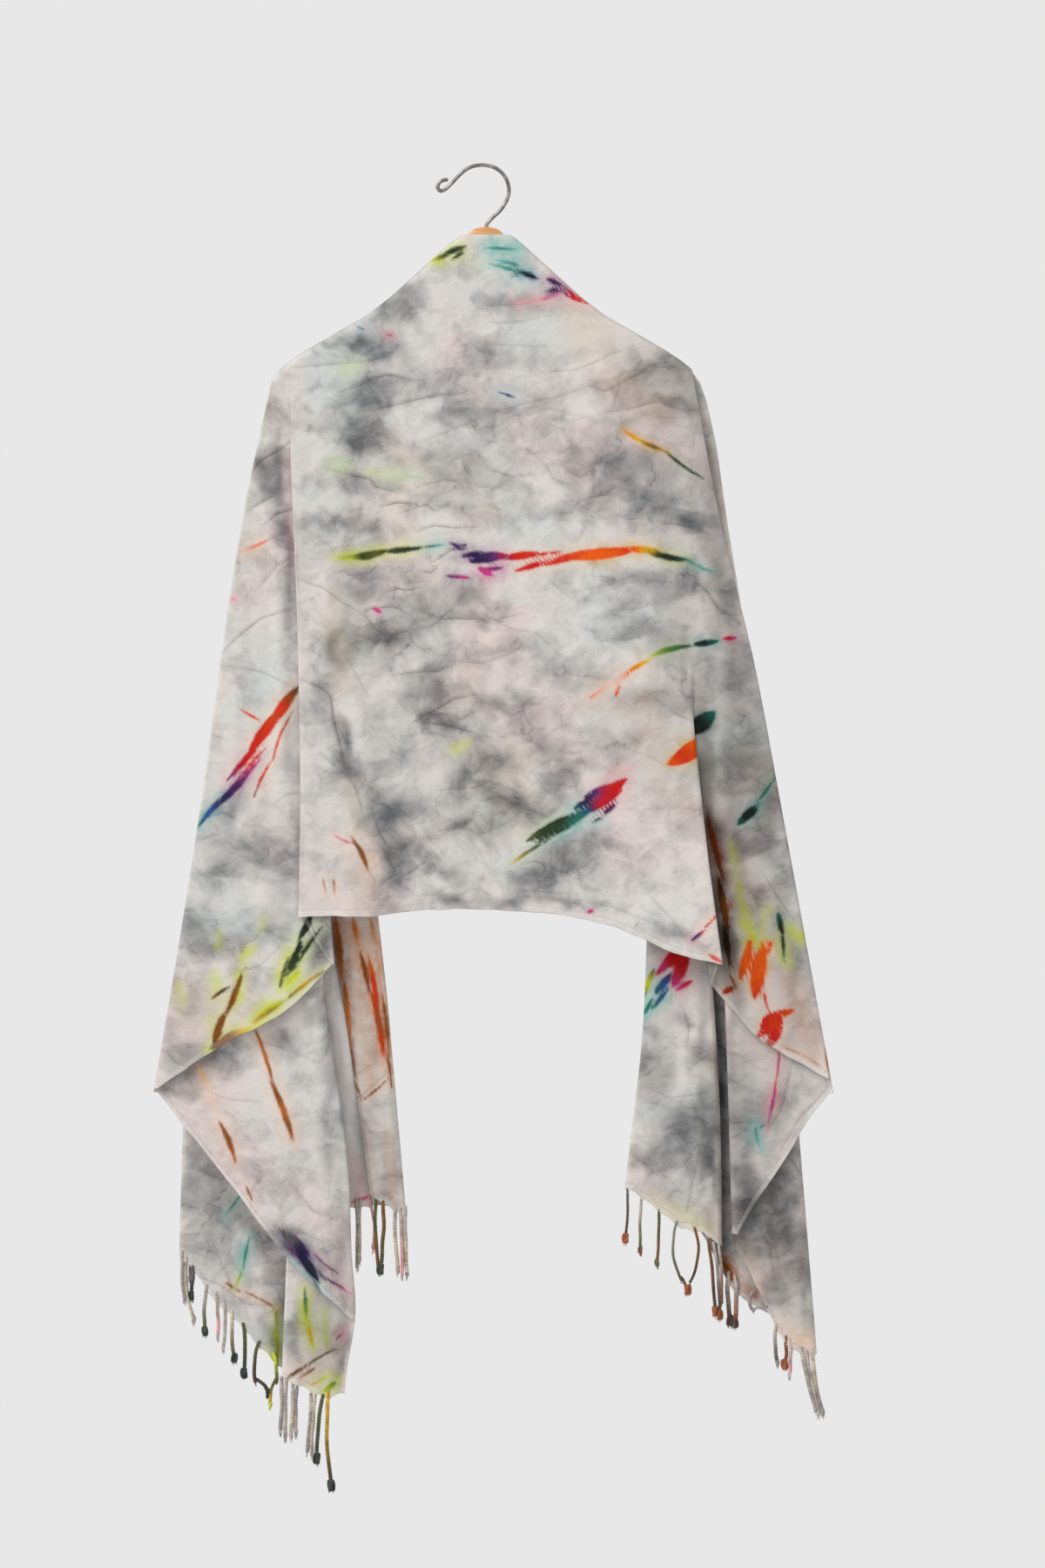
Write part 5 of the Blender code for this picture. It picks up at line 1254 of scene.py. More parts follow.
def build_mesh(name, cols, pts, drops, edge, layer, turned, material, side_band=None):
    rows, n, _ = pts.shape
    mesh = bpy.data.meshes.new(name)
    verts = pts.reshape(-1, 3) / 1000
    index = np.arange(rows * n).reshape(rows, n)
    quads = np.stack([index[:-1, :-1], index[1:, :-1], index[1:, 1:], index[:-1, 1:]], -1).reshape(-1, 4)
    mesh.from_pydata(verts.tolist(), [], quads.tolist())
    # dye and painted shade, read from the dressed places
    total = rows * n
    core = np.zeros((total, 4))
    halo = np.zeros((total, 4))
    marks = np.zeros((total, 3))
    hairs = np.zeros((total, 3))
    strokes = np.zeros((total, 3))
    flow = np.zeros((total, 3))
    names = np.array(layer)
    x_all, d_all = pts[:, :, 0], -pts[:, :, 2]
    for layer_name in sorted(set(layer)):
        pick = np.nonzero(names == layer_name)[0]
        idx = index[:, pick].reshape(-1)
        x, d = x_all[:, pick].reshape(-1), d_all[:, pick].reshape(-1)
        c, f, h, s, g, hd, hs, st, sh = dye_fields(layer_name, x, d)
        if layer_name in FRONT and layer_name != "centre_panel":
            w = turned[:, pick].reshape(-1)
            c2, f2, h2, s2, g2, hd2, hs2, st2, sh2 = dye_fields("centre_panel", x, d)
            g, sh = g * w + g2 * (1 - w), sh * w + sh2 * (1 - w)
            other = w < 0.5
            for own, panel in ((c, c2), (f, f2), (h, h2), (s, s2), (hd, hd2), (hs, hs2), (st, st2)):
                own[other] = panel[other]
        core[idx, :3] = c
        core[idx, 3] = np.clip(0.5 + f / 10.0, 0, 1)
        halo[idx, :3] = h
        halo[idx, 3] = s
        marks[idx, 0] = g
        marks[idx, 1] = np.clip(edge[:, pick].reshape(-1) / 40.0, 0, 1)
        hairs[idx, 0] = np.clip(0.5 + hd / 16.0, 0, 1)
        hairs[idx, 1] = hs
        # third slot: painted shade for valleys and layers behind
        hairs[idx, 2] = sh
        strokes[idx, :2] = st[:, :2]
        strokes[idx, 2] = st[:, 4]
        flow[idx, :2] = st[:, 2:4]
    if side_band is not None:
        marks[:, 2] = side_band.reshape(-1)
    else:
        marks[:, 2] = 1.0
    for label, data in (("dye", core), ("halo", halo)):
        attr = mesh.attributes.new(label, "FLOAT_COLOR", "POINT")
        attr.data.foreach_set("color", data.astype(np.float32).reshape(-1))
    for label, data in (("marks", marks), ("hairs", hairs), ("strokes", strokes), ("flow", flow)):
        attr = mesh.attributes.new(label, "FLOAT_VECTOR", "POINT")
        attr.data.foreach_set("vector", data.astype(np.float32).reshape(-1))
    # flat coordinates in metres, continuous over the folds
    step = np.hypot(np.diff(pts[:, :, 0], axis=1), np.diff(pts[:, :, 1], axis=1))
    u = np.concatenate([np.zeros((rows, 1)), np.cumsum(step, 1)], 1)
    anchor = n // 2
    u = u - u[:, anchor:anchor + 1] + pts[:, anchor:anchor + 1, 0]
    shift = (sum(map(ord, name)) * 7) % 50 * 0.031
    uv = np.stack([u / 1000 + shift, pts[:, :, 2] / 1000 - shift * 1.7], -1).reshape(-1, 2)
    layer_uv = mesh.uv_layers.new(name="flat")
    loops = np.zeros(len(mesh.loops), np.int32)
    mesh.loops.foreach_get("vertex_index", loops)
    layer_uv.data.foreach_set("uv", uv[loops].astype(np.float32).reshape(-1))
    mesh.shade_smooth()
    mesh.update()
    mesh.validate()
    obj = bpy.data.objects.new(name, mesh)
    bpy.context.scene.collection.objects.link(obj)
    obj.data.materials.append(material)
    wall = obj.modifiers.new("wall", "SOLIDIFY")
    wall.thickness = CLOTH / 1000
    wall.offset = 0
    wall.use_even_offset = False
    wall.use_quality_normals = True
    return obj


# ------------------------------------------------------------------- materials
class Tree:
    """A small helper for wiring shader nodes."""

    def __init__(self, name):
        self.material = bpy.data.materials.new(name)
        self.material.use_nodes = True
        self.nodes = self.material.node_tree.nodes
        self.links = self.material.node_tree.links
        self.shader = self.nodes["Principled BSDF"]

    def add(self, kind, **settings):
        node = self.nodes.new(kind)
        for key, value in settings.items():
            setattr(node, key, value)
        return node

    def put(self, socket, value):
        if isinstance(value, bpy.types.NodeSocket):
            self.links.new(value, socket)
        elif value is not None:
            socket.default_value = value

    def math(self, operation, a, b=None, c=None, clamp=False):
        node = self.add("ShaderNodeMath", operation=operation, use_clamp=clamp)
        for socket, value in zip(node.inputs, (a, b, c)):
            self.put(socket, value)
        return node.outputs[0]

    def mix(self, factor, a, b, blend="MIX"):
        node = self.add("ShaderNodeMix", data_type="RGBA", blend_type=blend)
        self.put(node.inputs[0], factor)
        self.put(node.inputs[6], a)
        self.put(node.inputs[7], b)
        return node.outputs[2]

    def ramp(self, value, low, high, out_low=0.0, out_high=1.0, kind="SMOOTHSTEP"):
        node = self.add("ShaderNodeMapRange", interpolation_type=kind)
        self.put(node.inputs[0], value)
        for socket, number in zip(list(node.inputs)[1:5], (low, high, out_low, out_high)):
            self.put(socket, number)
        return node.outputs[0]

    def noise(self, vector, scale, detail=3.0, rough=0.55, distortion=0.0):
        node = self.add("ShaderNodeTexNoise")
        self.put(node.inputs["Vector"], vector)
        node.inputs["Scale"].default_value = scale
        node.inputs["Detail"].default_value = detail
        node.inputs["Roughness"].default_value = rough
        node.inputs["Distortion"].default_value = distortion
        return node.outputs["Fac"]

    def mapping(self, vector, scale=(1, 1, 1), location=(0, 0, 0), rotation=(0, 0, 0)):
        node = self.add("ShaderNodeMapping")
        self.put(node.inputs["Vector"], vector)
        node.inputs["Location"].default_value = location
        node.inputs["Rotation"].default_value = rotation
        node.inputs["Scale"].default_value = scale
        return node.outputs[0]


def rgba(values, gain=LIGHT_GAIN):
    out = []
    for v in values:
        v /= 255
        out.append((v / 12.92 if v <= 0.04045 else ((v + 0.055) / 1.055) ** 2.4) / gain)
    return (*out, 1)


def cloth_material():
    t = Tree("dyed_cloth_look")
    uv = t.add("ShaderNodeUVMap", uv_map="flat").outputs[0]
    dye = t.add("ShaderNodeAttribute", attribute_name="dye")
    halo = t.add("ShaderNodeAttribute", attribute_name="halo")
    marks = t.add("ShaderNodeSeparateXYZ")
    t.links.new(t.add("ShaderNodeAttribute", attribute_name="marks").outputs["Vector"], marks.inputs[0])
    strokes = t.add("ShaderNodeAttribute", attribute_name="flow").outputs["Vector"]
    spindle = t.add("ShaderNodeSeparateXYZ")
    t.links.new(t.add("ShaderNodeAttribute", attribute_name="strokes").outputs["Vector"], spindle.inputs[0])
    hairs = t.add("ShaderNodeSeparateXYZ")
    t.links.new(t.add("ShaderNodeAttribute", attribute_name="hairs").outputs["Vector"], hairs.inputs[0])
    cloud, hem, side = marks.outputs[0], marks.outputs[1], marks.outputs[2]

    # base white with faint pink, green-grey and cream
    tint = t.noise(uv, 6.5, 2.0, 0.5)
    tint2 = t.noise(t.mapping(uv, location=(3.1, 1.7, 0.4)), 9.0, 2.0, 0.5)
    base = t.mix(t.ramp(tint, 0.48, 0.66), rgba((214, 209, 204)), rgba((219, 205, 201)))
    base = t.mix(t.ramp(tint, 0.46, 0.32, 0.0, 0.8), base, rgba((204, 208, 204)))
    base = t.mix(t.ramp(tint2, 0.54, 0.74, 0.0, 0.7), base, rgba((212, 200, 188)))

    # facets of the scrunched cloth, each dyed a little differently
    warp = t.add("ShaderNodeTexNoise")
    t.put(warp.inputs["Vector"], uv)
    warp.inputs["Scale"].default_value = 22.0
    warp.inputs["Detail"].default_value = 4.0
    bent = t.add("ShaderNodeVectorMath", operation="MULTIPLY_ADD")
    t.links.new(warp.outputs["Color"], bent.inputs[0])
    bent.inputs[1].default_value = (0.060, 0.052, 0)
    t.links.new(t.mapping(uv, scale=(0.60, 1.0, 1.0), rotation=(0, 0, 0.2)), bent.inputs[2])
    lines, cells = [], []
    for scale, low in ((17.0, 0.013), (38.0, 0.018)):
        cell = t.add("ShaderNodeTexVoronoi", feature="DISTANCE_TO_EDGE", voronoi_dimensions="2D")
        t.links.new(bent.outputs[0], cell.inputs["Vector"])
        cell.inputs["Scale"].default_value = scale
        lines.append((t.ramp(cell.outputs["Distance"], 0.0, low, 1.0, 0.0),
                      t.ramp(cell.outputs["Distance"], 0.0, low * 9, 1.0, 0.0, "LINEAR")))
        tone = t.add("ShaderNodeTexVoronoi", feature="SMOOTH_F1", voronoi_dimensions="2D")
        t.links.new(bent.outputs[0], tone.inputs["Vector"])
        tone.inputs["Scale"].default_value = scale
        tone.inputs["Smoothness"].default_value = 0.35
        parts = t.add("ShaderNodeSeparateColor")
        t.links.new(tone.outputs["Color"], parts.inputs[0])
        cells.append(parts.outputs[0])

    # grey clouds, some with a blue cast
    soft = t.noise(uv, 34.0, 5.0, 0.62, 0.6)
    wide = t.noise(t.mapping(uv, location=(1.3, 5.2, 0)), 12.0, 3.0, 0.55, 0.4)
    grain = t.noise(uv, 130.0, 4.0, 0.65)
    level = t.math("ADD", t.math("MULTIPLY", cloud, 1.26),
                   t.math("ADD", t.math("MULTIPLY_ADD", soft, 1.7, -0.85),
                          t.math("ADD", t.math("MULTIPLY_ADD", wide, 0.9, -0.45),
                                 t.math("ADD", t.math("MULTIPLY_ADD", grain, 0.35, -0.175),
                                        t.math("ADD", t.math("MULTIPLY_ADD", cells[0], 0.30, -0.15),
                                               t.math("MULTIPLY_ADD", cells[1], 0.26, -0.13))))))
    grey = t.ramp(level, -0.10, 1.26, 0.0, 1.0, "LINEAR")
    shade = t.mix(t.ramp(tint2, 0.4, 0.62), rgba((98, 102, 106)), rgba((108, 104, 103)))
    colour = t.mix(t.math("MULTIPLY", grey, 0.98), base, shade)

    # fine crackle: thin dark lines with a paler watery side
    patches = t.noise(t.mapping(uv, location=(7.7, 2.2, 0)), 15.0, 2.0, 0.5)
    where = t.math("MULTIPLY", t.ramp(patches, 0.44, 0.64), t.ramp(grey, 0.0, 0.55, 0.30, 1.0))
    where2 = t.math("MULTIPLY", t.ramp(patches, 0.60, 0.44), t.ramp(grey, 0.1, 0.6, 0.15, 0.9))
    crack = t.math("MAXIMUM", t.math("MULTIPLY", lines[0][0], where), t.math("MULTIPLY", lines[1][0], where2))
    wash = t.math("MAXIMUM", t.math("MULTIPLY", lines[0][1], where), t.math("MULTIPLY", lines[1][1], where2))
    colour = t.mix(t.math("MULTIPLY", wash, 0.24), colour, rgba((104, 102, 106)))
    colour = t.mix(t.math("MULTIPLY", crack, 0.50), colour, rgba((76, 72, 78)))

    # hairlines from the table
    wander = t.noise(uv, 70.0, 4.0, 0.65)
    off = t.math("ABSOLUTE", t.math("ADD", t.math("SUBTRACT", hairs.outputs[0], 0.5),
                                    t.math("MULTIPLY_ADD", wander, 0.16, -0.08)))
    vary = t.ramp(grain, 0.36, 0.6, 0.35, 1.0)
    thin = t.math("MULTIPLY", t.math("MULTIPLY", t.ramp(off, 0.010, 0.052, 1.0, 0.0), hairs.outputs[1]), vary)
    broad = t.math("MULTIPLY", t.ramp(off, 0.01, 0.26, 1.0, 0.0, "LINEAR"), hairs.outputs[1])
    colour = t.mix(t.math("MULTIPLY", broad, 0.26), colour, rgba((104, 102, 106)))
    colour = t.mix(t.math("MULTIPLY", thin, 0.66), colour, rgba((64, 58, 64)))

    # painted marks: a soft halo, then a core drawn out in streaks
    streak = t.noise(t.mapping(strokes, scale=(0.085, 0.62, 0.0)), 1.0, 4.0, 0.62, 0.25)
    blot = t.noise(uv, 120.0, 4.0, 0.7, 0.6)
    bite = t.noise(uv, 42.0, 3.0, 0.6, 0.8)
    glow = t.math("MULTIPLY", halo.outputs["Alpha"],
                  t.math("MULTIPLY", t.ramp(soft, 0.28, 0.66, 0.35, 1.3, "LINEAR"),
                         t.ramp(streak, 0.3, 0.65, 0.55, 1.25, "LINEAR")), clamp=True)
    colour = t.mix(t.math("MULTIPLY", glow, 0.80), colour, halo.outputs["Color"], "MIX")
    sharp = t.math("MULTIPLY_ADD", t.math("SUBTRACT", spindle.outputs[1], t.math("ABSOLUTE", spindle.outputs[0])), 0.1, 0.5)
    whole = t.math("ABSOLUTE", t.math("SUBTRACT", t.math("FRACT", t.math("ADD", spindle.outputs[2], 0.5)), 0.5))
    gate = t.math("MULTIPLY", t.ramp(dye.outputs["Alpha"], 0.20, 0.32, 0.0, 1.0, "LINEAR"),
                  t.math("LESS_THAN", whole, 0.004))
    inked = t.math("MULTIPLY_ADD", gate, t.math("MAXIMUM", t.math("SUBTRACT", sharp, dye.outputs["Alpha"]), 0.0), dye.outputs["Alpha"])
    amount = t.math("ADD", inked,
                    t.math("ADD", t.math("MULTIPLY_ADD", streak, 0.44, -0.22),
                           t.math("ADD", t.math("MULTIPLY_ADD", blot, 0.20, -0.10),
                                  t.math("MULTIPLY_ADD", bite, 0.30, -0.15))))
    rim = t.ramp(amount, 0.28, 0.56)
    core = t.ramp(amount, 0.44, 0.68)
    inner = t.mix(t.ramp(streak, 0.56, 0.32, 0.0, 0.42), dye.outputs["Color"],
                  t.mix(1.0, dye.outputs["Color"], rgba((150, 110, 120), 1.0), "MULTIPLY"))
    inner = t.mix(t.ramp(blot, 0.5, 0.75, 0.0, 0.18), inner, rgba((90, 50, 50)))
    colour = t.mix(t.math("MULTIPLY", rim, 0.50), colour, dye.outputs["Color"])
    colour = t.mix(t.math("MULTIPLY", core, 0.95), colour, inner)

    # painted shade: the colour is darkened all over where the cloth hangs behind other layers or turns inwards into a
    # valley
    painted_shade_amount = t.math("MULTIPLY", hairs.outputs[2], t.ramp(wide, 0.3, 0.7, 0.88, 1.1, "LINEAR"), clamp=True)
    colour = t.mix(painted_shade_amount, colour, t.mix(1.0, colour, rgba((96, 84, 78), 1.0), "MULTIPLY"))

    # turned hem: stitches 7.5 mm from the edge, and a slightly denser band
    band = t.ramp(hem, 0.19, 0.215, 1.0, 0.0)
    uvs = t.add("ShaderNodeSeparateXYZ")
    t.links.new(uv, uvs.inputs[0])
    dash = t.math("FRACT", t.math("MULTIPLY", uvs.outputs[0], 330.0))
    dashes = t.math("MULTIPLY", t.ramp(dash, 0.12, 0.2), t.ramp(dash, 0.9, 0.82))
    on_line = t.math("MULTIPLY", t.ramp(t.math("ABSOLUTE", t.math("SUBTRACT", hem, 0.175)), 0.008, 0.018, 1.0, 0.0), dashes)
    colour = t.mix(t.math("MULTIPLY", band, 0.10), colour, rgba((236, 232, 226)))
    colour = t.mix(t.math("MULTIPLY", on_line, 0.35), colour, rgba((150, 146, 142)))
    # overlocked side edge: slanting threads over 4 mm
    slant = t.math("FRACT", t.math("MULTIPLY", t.math("ADD", uvs.outputs[1], t.math("MULTIPLY", uvs.outputs[0], 0.6)), 420.0))
    over = t.math("MULTIPLY", t.ramp(side, 0.5, 0.56, 1.0, 0.0), t.ramp(slant, 0.35, 0.6))
    colour = t.mix(t.math("MULTIPLY", over, 0.45), colour, rgba((122, 98, 78)))
    t.links.new(colour, t.shader.inputs["Base Color"])

    # surface: plain weave, slubs, and the pucker that scrunching leaves
    warp_wave = t.add("ShaderNodeTexWave", wave_type="BANDS", bands_direction="X", wave_profile="SIN")
    t.put(warp_wave.inputs["Vector"], uv)
    warp_wave.inputs["Scale"].default_value = 240.0
    warp_wave.inputs["Distortion"].default_value = 1.2
    warp_wave.inputs["Detail"].default_value = 2.0
    weft_wave = t.add("ShaderNodeTexWave", wave_type="BANDS", bands_direction="Y", wave_profile="SIN")
    t.put(weft_wave.inputs["Vector"], uv)
    weft_wave.inputs["Scale"].default_value = 240.0
    weft_wave.inputs["Distortion"].default_value = 1.2
    weft_wave.inputs["Detail"].default_value = 2.0
    weave = t.math("MULTIPLY", warp_wave.outputs["Fac"], weft_wave.outputs["Fac"])
    slub = t.noise(t.mapping(uv, scale=(1.0, 9.0, 1.0)), 130.0, 3.0, 0.6)
    fine = t.add("ShaderNodeBump")
    fine.inputs["Strength"].default_value = 0.35
    fine.inputs["Distance"].default_value = 0.0003
    t.links.new(t.math("ADD", weave, t.math("MULTIPLY", slub, 0.9)), fine.inputs["Height"])
    pucker = t.noise(t.mapping(uv, scale=(0.8, 1.25, 1.0)), 60.0, 5.0, 0.6, 0.7)
    crumple = t.math("ADD", t.math("MULTIPLY", pucker, 1.0),
                     t.math("ADD", t.math("MULTIPLY", wash, -0.5), t.math("MULTIPLY", broad, -0.7)))
    big = t.add("ShaderNodeBump")
    big.inputs["Strength"].default_value = 0.55
    big.inputs["Distance"].default_value = 0.0022
    t.links.new(crumple, big.inputs["Height"])
    stitch = t.add("ShaderNodeBump")
    stitch.inputs["Strength"].default_value = 0.6
    stitch.inputs["Distance"].default_value = 0.0006
    t.links.new(t.math("ADD", on_line, over), stitch.inputs["Height"])
    t.links.new(fine.outputs[0], big.inputs["Normal"])
    t.links.new(big.outputs[0], stitch.inputs["Normal"])
    t.links.new(stitch.outputs[0], t.shader.inputs["Normal"])
    t.links.new(t.ramp(slub, 0.2, 0.8, 0.78, 0.92, "LINEAR"), t.shader.inputs["Roughness"])
    t.shader.inputs["Specular IOR Level"].default_value = 0.02
    t.shader.inputs["Sheen Weight"].default_value = 0.0
    t.shader.inputs["Sheen Roughness"].default_value = 0.5
    return t.material


def cord_material():
    t = Tree("fringe_cord_look")
    tone = t.add("ShaderNodeAttribute", attribute_name="tone")
    obj = t.add("ShaderNodeTexCoord").outputs["Object"]
    patch = t.noise(obj, 140.0, 3.0, 0.6)
    fibre = t.noise(t.mapping(obj, scale=(1, 1, 0.25)), 900.0, 2.0, 0.6)
    colour = t.mix(t.ramp(patch, 0.35, 0.7, 0.0, 0.55), tone.outputs["Color"],
                   t.mix(1.0, tone.outputs["Color"], rgba((150, 140, 130), 1.0), "MULTIPLY"))
    colour = t.mix(t.ramp(fibre, 0.3, 0.75, 0.0, 0.10), colour, rgba((226, 218, 208)))
    t.links.new(colour, t.shader.inputs["Base Color"])
    bump = t.add("ShaderNodeBump")
    bump.inputs["Strength"].default_value = 0.5
    bump.inputs["Distance"].default_value = 0.0004
    t.links.new(fibre, bump.inputs["Height"])
    t.links.new(bump.outputs[0], t.shader.inputs["Normal"])
    t.links.new(t.ramp(fibre, 0.2, 0.8, 0.8, 0.95, "LINEAR"), t.shader.inputs["Roughness"])
    t.shader.inputs["Specular IOR Level"].default_value = 0.2
    t.shader.inputs["Sheen Weight"].default_value = 0.15
    return t.material


def wood_material():
    t = Tree("hanger_wood_look")
    obj = t.add("ShaderNodeTexCoord").outputs["Object"]
    long_grain = t.mapping(obj, scale=(6.0, 60.0, 60.0), rotation=(0, 0.0, 0))
    rings = t.noise(long_grain, 2.2, 5.0, 0.6, 1.6)
    pores = t.noise(t.mapping(obj, scale=(30.0, 700.0, 700.0)), 1.0, 2.0, 0.6)
    colour = t.mix(t.ramp(rings, 0.3, 0.7), rgba((226, 172, 114)), rgba((198, 136, 80)))
    colour = t.mix(t.ramp(pores, 0.55, 0.75, 0.0, 0.4), colour, rgba((160, 100, 56)))
    colour = t.mix(t.ramp(t.noise(obj, 12.0, 2.0), 0.4, 0.7, 0.0, 0.25), colour, rgba((236, 190, 136)))
    t.links.new(colour, t.shader.inputs["Base Color"])
    t.links.new(t.ramp(rings, 0.2, 0.8, 0.36, 0.5, "LINEAR"), t.shader.inputs["Roughness"])
    bump = t.add("ShaderNodeBump")
    bump.inputs["Strength"].default_value = 0.25
    bump.inputs["Distance"].default_value = 0.0003
    t.links.new(t.math("ADD", pores, t.math("MULTIPLY", rings, 0.4)), bump.inputs["Height"])
    t.links.new(bump.outputs[0], t.shader.inputs["Normal"])
    return t.material


def steel_material():
    t = Tree("hook_steel_look")
    obj = t.add("ShaderNodeTexCoord").outputs["Object"]
    haze = t.noise(obj, 160.0, 4.0, 0.6)
    spots = t.noise(obj, 420.0, 3.0, 0.7)
    colour = t.mix(t.ramp(haze, 0.35, 0.7), rgba((116, 113, 111), 1.0), rgba((168, 164, 160), 1.0))
    colour = t.mix(t.ramp(spots, 0.58, 0.74, 0.0, 0.7), colour, rgba((70, 64, 58), 1.0))
    t.links.new(colour, t.shader.inputs["Base Color"])
    t.shader.inputs["Metallic"].default_value = 1.0
    t.links.new(t.ramp(haze, 0.2, 0.8, 0.28, 0.5, "LINEAR"), t.shader.inputs["Roughness"])
    bump = t.add("ShaderNodeBump")
    bump.inputs["Strength"].default_value = 0.2
    bump.inputs["Distance"].default_value = 0.0002
    t.links.new(spots, bump.inputs["Height"])
    t.links.new(bump.outputs[0], t.shader.inputs["Normal"])
    return t.material


# ---------------------------------------------------------------------- fringe
# stretch, start col, row, end col, row, sideways bow, colour from, colour to,
# knot (0 none, else size in mm), knot colour, thickness.
CORDS = [
    ("left_tail_outer", 208, 1441, 210, 1492, -1, "ash", "grey", 2.4, "grey", 1.15),
    ("left_tail_outer", 213, 1448, 221, 1516, -4, "ash", "beige", 2.6, "ash", 1.15),
    ("left_tail_outer", 220, 1458, 218, 1488, 1, "smoke", "blackgreen", 3.6, "blackgreen", 1.15),
    ("left_tail_outer", 237, 1479, 234, 1529, -2, "ash", "olive", 3.8, "darkgreen", 1.15),
    ("left_tail_outer", 247, 1488, 249, 1534, 1, "ash", "pink", 2.2, "ash", 1.1),
    ("left_tail_outer", 256, 1496, 255, 1548, 2, "ash", "ash", 2.2, "ash", 1.1),
    ("left_tail_outer", 266, 1508, 268, 1560, -2, "beige", "olive", 3.8, "blackgreen", 1.15),
    ("left_tail_outer", 278, 1524, 279, 1577, 2, "olive", "darkgreen", 4.2, "blackgreen", 1.2),
    ("left_tail_outer", 297, 1545, 293, 1590, -4, "olive", "umber", 0, "umber", 1.15),
    ("left_tail_outer", 292, 1588, 307, 1601, 3, "umber", "blackgreen", 3.8, "blackgreen", 1.25),
    ("left_tail_outer", 313, 1558, 316, 1590, 2, "lime", "olive", 0, "lime", 1.1),
    ("left_tail_outer", 316, 1588, 309, 1613, -2, "olive", "gold", 2.4, "lime", 1.0),
    ("left_tail_front", 323, 1584, 322, 1642, 1, "ash", "grey", 2.2, "ash", 1.25),
    ("left_tail_front", 329, 1588, 328, 1648, -1, "ash", "ash", 2.2, "grey", 1.25),
    ("left_tail_front", 336, 1592, 334, 1648, 1, "ash", "beige", 2.2, "ash", 1.25),
    ("left_tail_front", 341, 1594, 340, 1644, -1, "grey", "ash", 2.2, "grey", 1.2),
    ("left_tail_front", 357, 1603, 353, 1664, 1, "ash", "grey", 2.2, "grey", 1.2),
    ("left_tail_front", 362, 1604, 358, 1668, -1, "beige", "ash", 2.2, "grey", 1.2),
    ("left_tail_front", 371, 1604, 364, 1673, -2, "olive", "darkgreen", 4.4, "blackgreen", 1.2),
    ("left_tail_front", 377, 1600, 380, 1704, -3, "gold", "umber", 4.6, "blackgreen", 1.2),
    ("left_back", 408, 1382, 409, 1456, 1, "ash", "ash", 2.2, "ash", 1.2),
    ("left_back", 413, 1381, 412, 1448, -1, "ash", "beige", 2.2, "ash", 1.1),
    ("left_back", 422, 1378, 428, 1434, 3, "pink", "pink", 2.2, "pink", 0.85),
    ("left_strip", 431, 1382, 434, 1456, -2, "olive", "brown", 0, "olive", 1.1),
    ("left_strip", 439, 1384, 436, 1458, 2, "brown", "olive", 4.4, "darkgreen", 1.2),
    ("left_strip", 453, 1390, 456, 1460, -1, "ash", "beige", 2.2, "ash", 1.2),
    ("left_strip", 459, 1391, 461, 1464, 1, "ash", "pink", 2.2, "ash", 1.2),
    ("left_strip", 465, 1390, 467, 1464, -1, "ash", "beige", 2.2, "grey", 1.2),
    ("right_strip", 721, 1369, 719, 1422, 1, "smoke", "umber", 4.0, "rust", 0.85),
    ("right_strip", 737, 1381, 736, 1436, -1, "ash", "olive", 2.8, "brown", 0.95),
    ("right_strip", 757, 1393, 755, 1450, 1, "olive", "brown", 2.8, "olive", 0.95),
    ("right_strip", 778, 1407, 783, 1472, -7, "grey", "olive", 0, "olive", 0.9),
    ("right_strip", 798, 1414, 793, 1474, 7, "brown", "umber", 0, "umber", 0.9),
    ("right_strip", 783, 1471, 790, 1481, 0, "umber", "rust", 4.2, "rust", 1.0),
    ("right_strip", 814, 1428, 822, 1506, 1, "brown", "umber", 4.0, "rust", 1.05),
    ("right_strip", 820, 1431, 827, 1510, 2, "ash", "umber", 4.0, "rust", 1.05),
    ("right_strip", 826, 1432, 830, 1498, 1, "ash", "brown", 0, "brown", 1.0),
    ("right_back", 838, 1466, 840, 1518, -2, "ash", "umber", 4.4, "umber", 1.4),
    ("right_back", 845, 1470, 845, 1520, 2, "ash", "rust", 4.2, "umber", 1.4),
    ("right_tail_front", 868, 1484, 866, 1506, -6, "grey", "grey", 0, "grey", 1.1),
    ("right_tail_front", 882, 1504, 866, 1505, -6, "grey", "grey", 0, "grey", 1.1),
    ("right_tail_front", 892, 1524, 893, 1564, -2, "ash", "smoke", 2.4, "grey", 1.15),
    ("right_tail_front", 903, 1537, 902, 1566, 1, "brown", "rust", 4.2, "rust", 1.15),
    ("right_tail_front", 908, 1540, 907, 1578, 1, "ash", "pink", 2.2, "ash", 1.1),
    ("right_tail_front", 921, 1550, 937, 1616, -2, "ash", "grey", 2.4, "grey", 1.3),
    ("right_tail_front", 927, 1554, 941, 1622, -2, "ash", "ash", 2.4, "ash", 1.3),
    ("right_tail_front", 933, 1555, 945, 1622, -2, "beige", "grey", 2.4, "grey", 1.3),
]


def hidden_cords():
    """The rest of each short end, behind what shows."""
    rng = random.Random(8)
    found = []
    for name, c0, r0, c1, r1, n in (("left_back", 214, 1440, 398, 1392, 14),):
        for i in range(n):
            f = (i + 0.5) / n
            c = c0 + (c1 - c0) * f + rng.uniform(-2, 2)
            r = r0 + (r1 - r0) * f - 3
            tones = rng.choice((("white", "grey", "olive"), ("pink", "grey", "grey"), ("grey", "brown", "redorange")))
            found.append((name, c, r, c + rng.uniform(-3, 3), r + rng.uniform(30, 38), rng.uniform(-3, 3),
                          tones[0], tones[1], rng.uniform(2.8, 4.2), tones[2], 1.0))
    return found


def stretch_at(name, col, row):
    """Where a stretch's middle surface is, at a place in the dye layout."""
    x, drop = lay(col, row)
    return x, float(by_drop(STRETCHES[name][2], drop)), drop


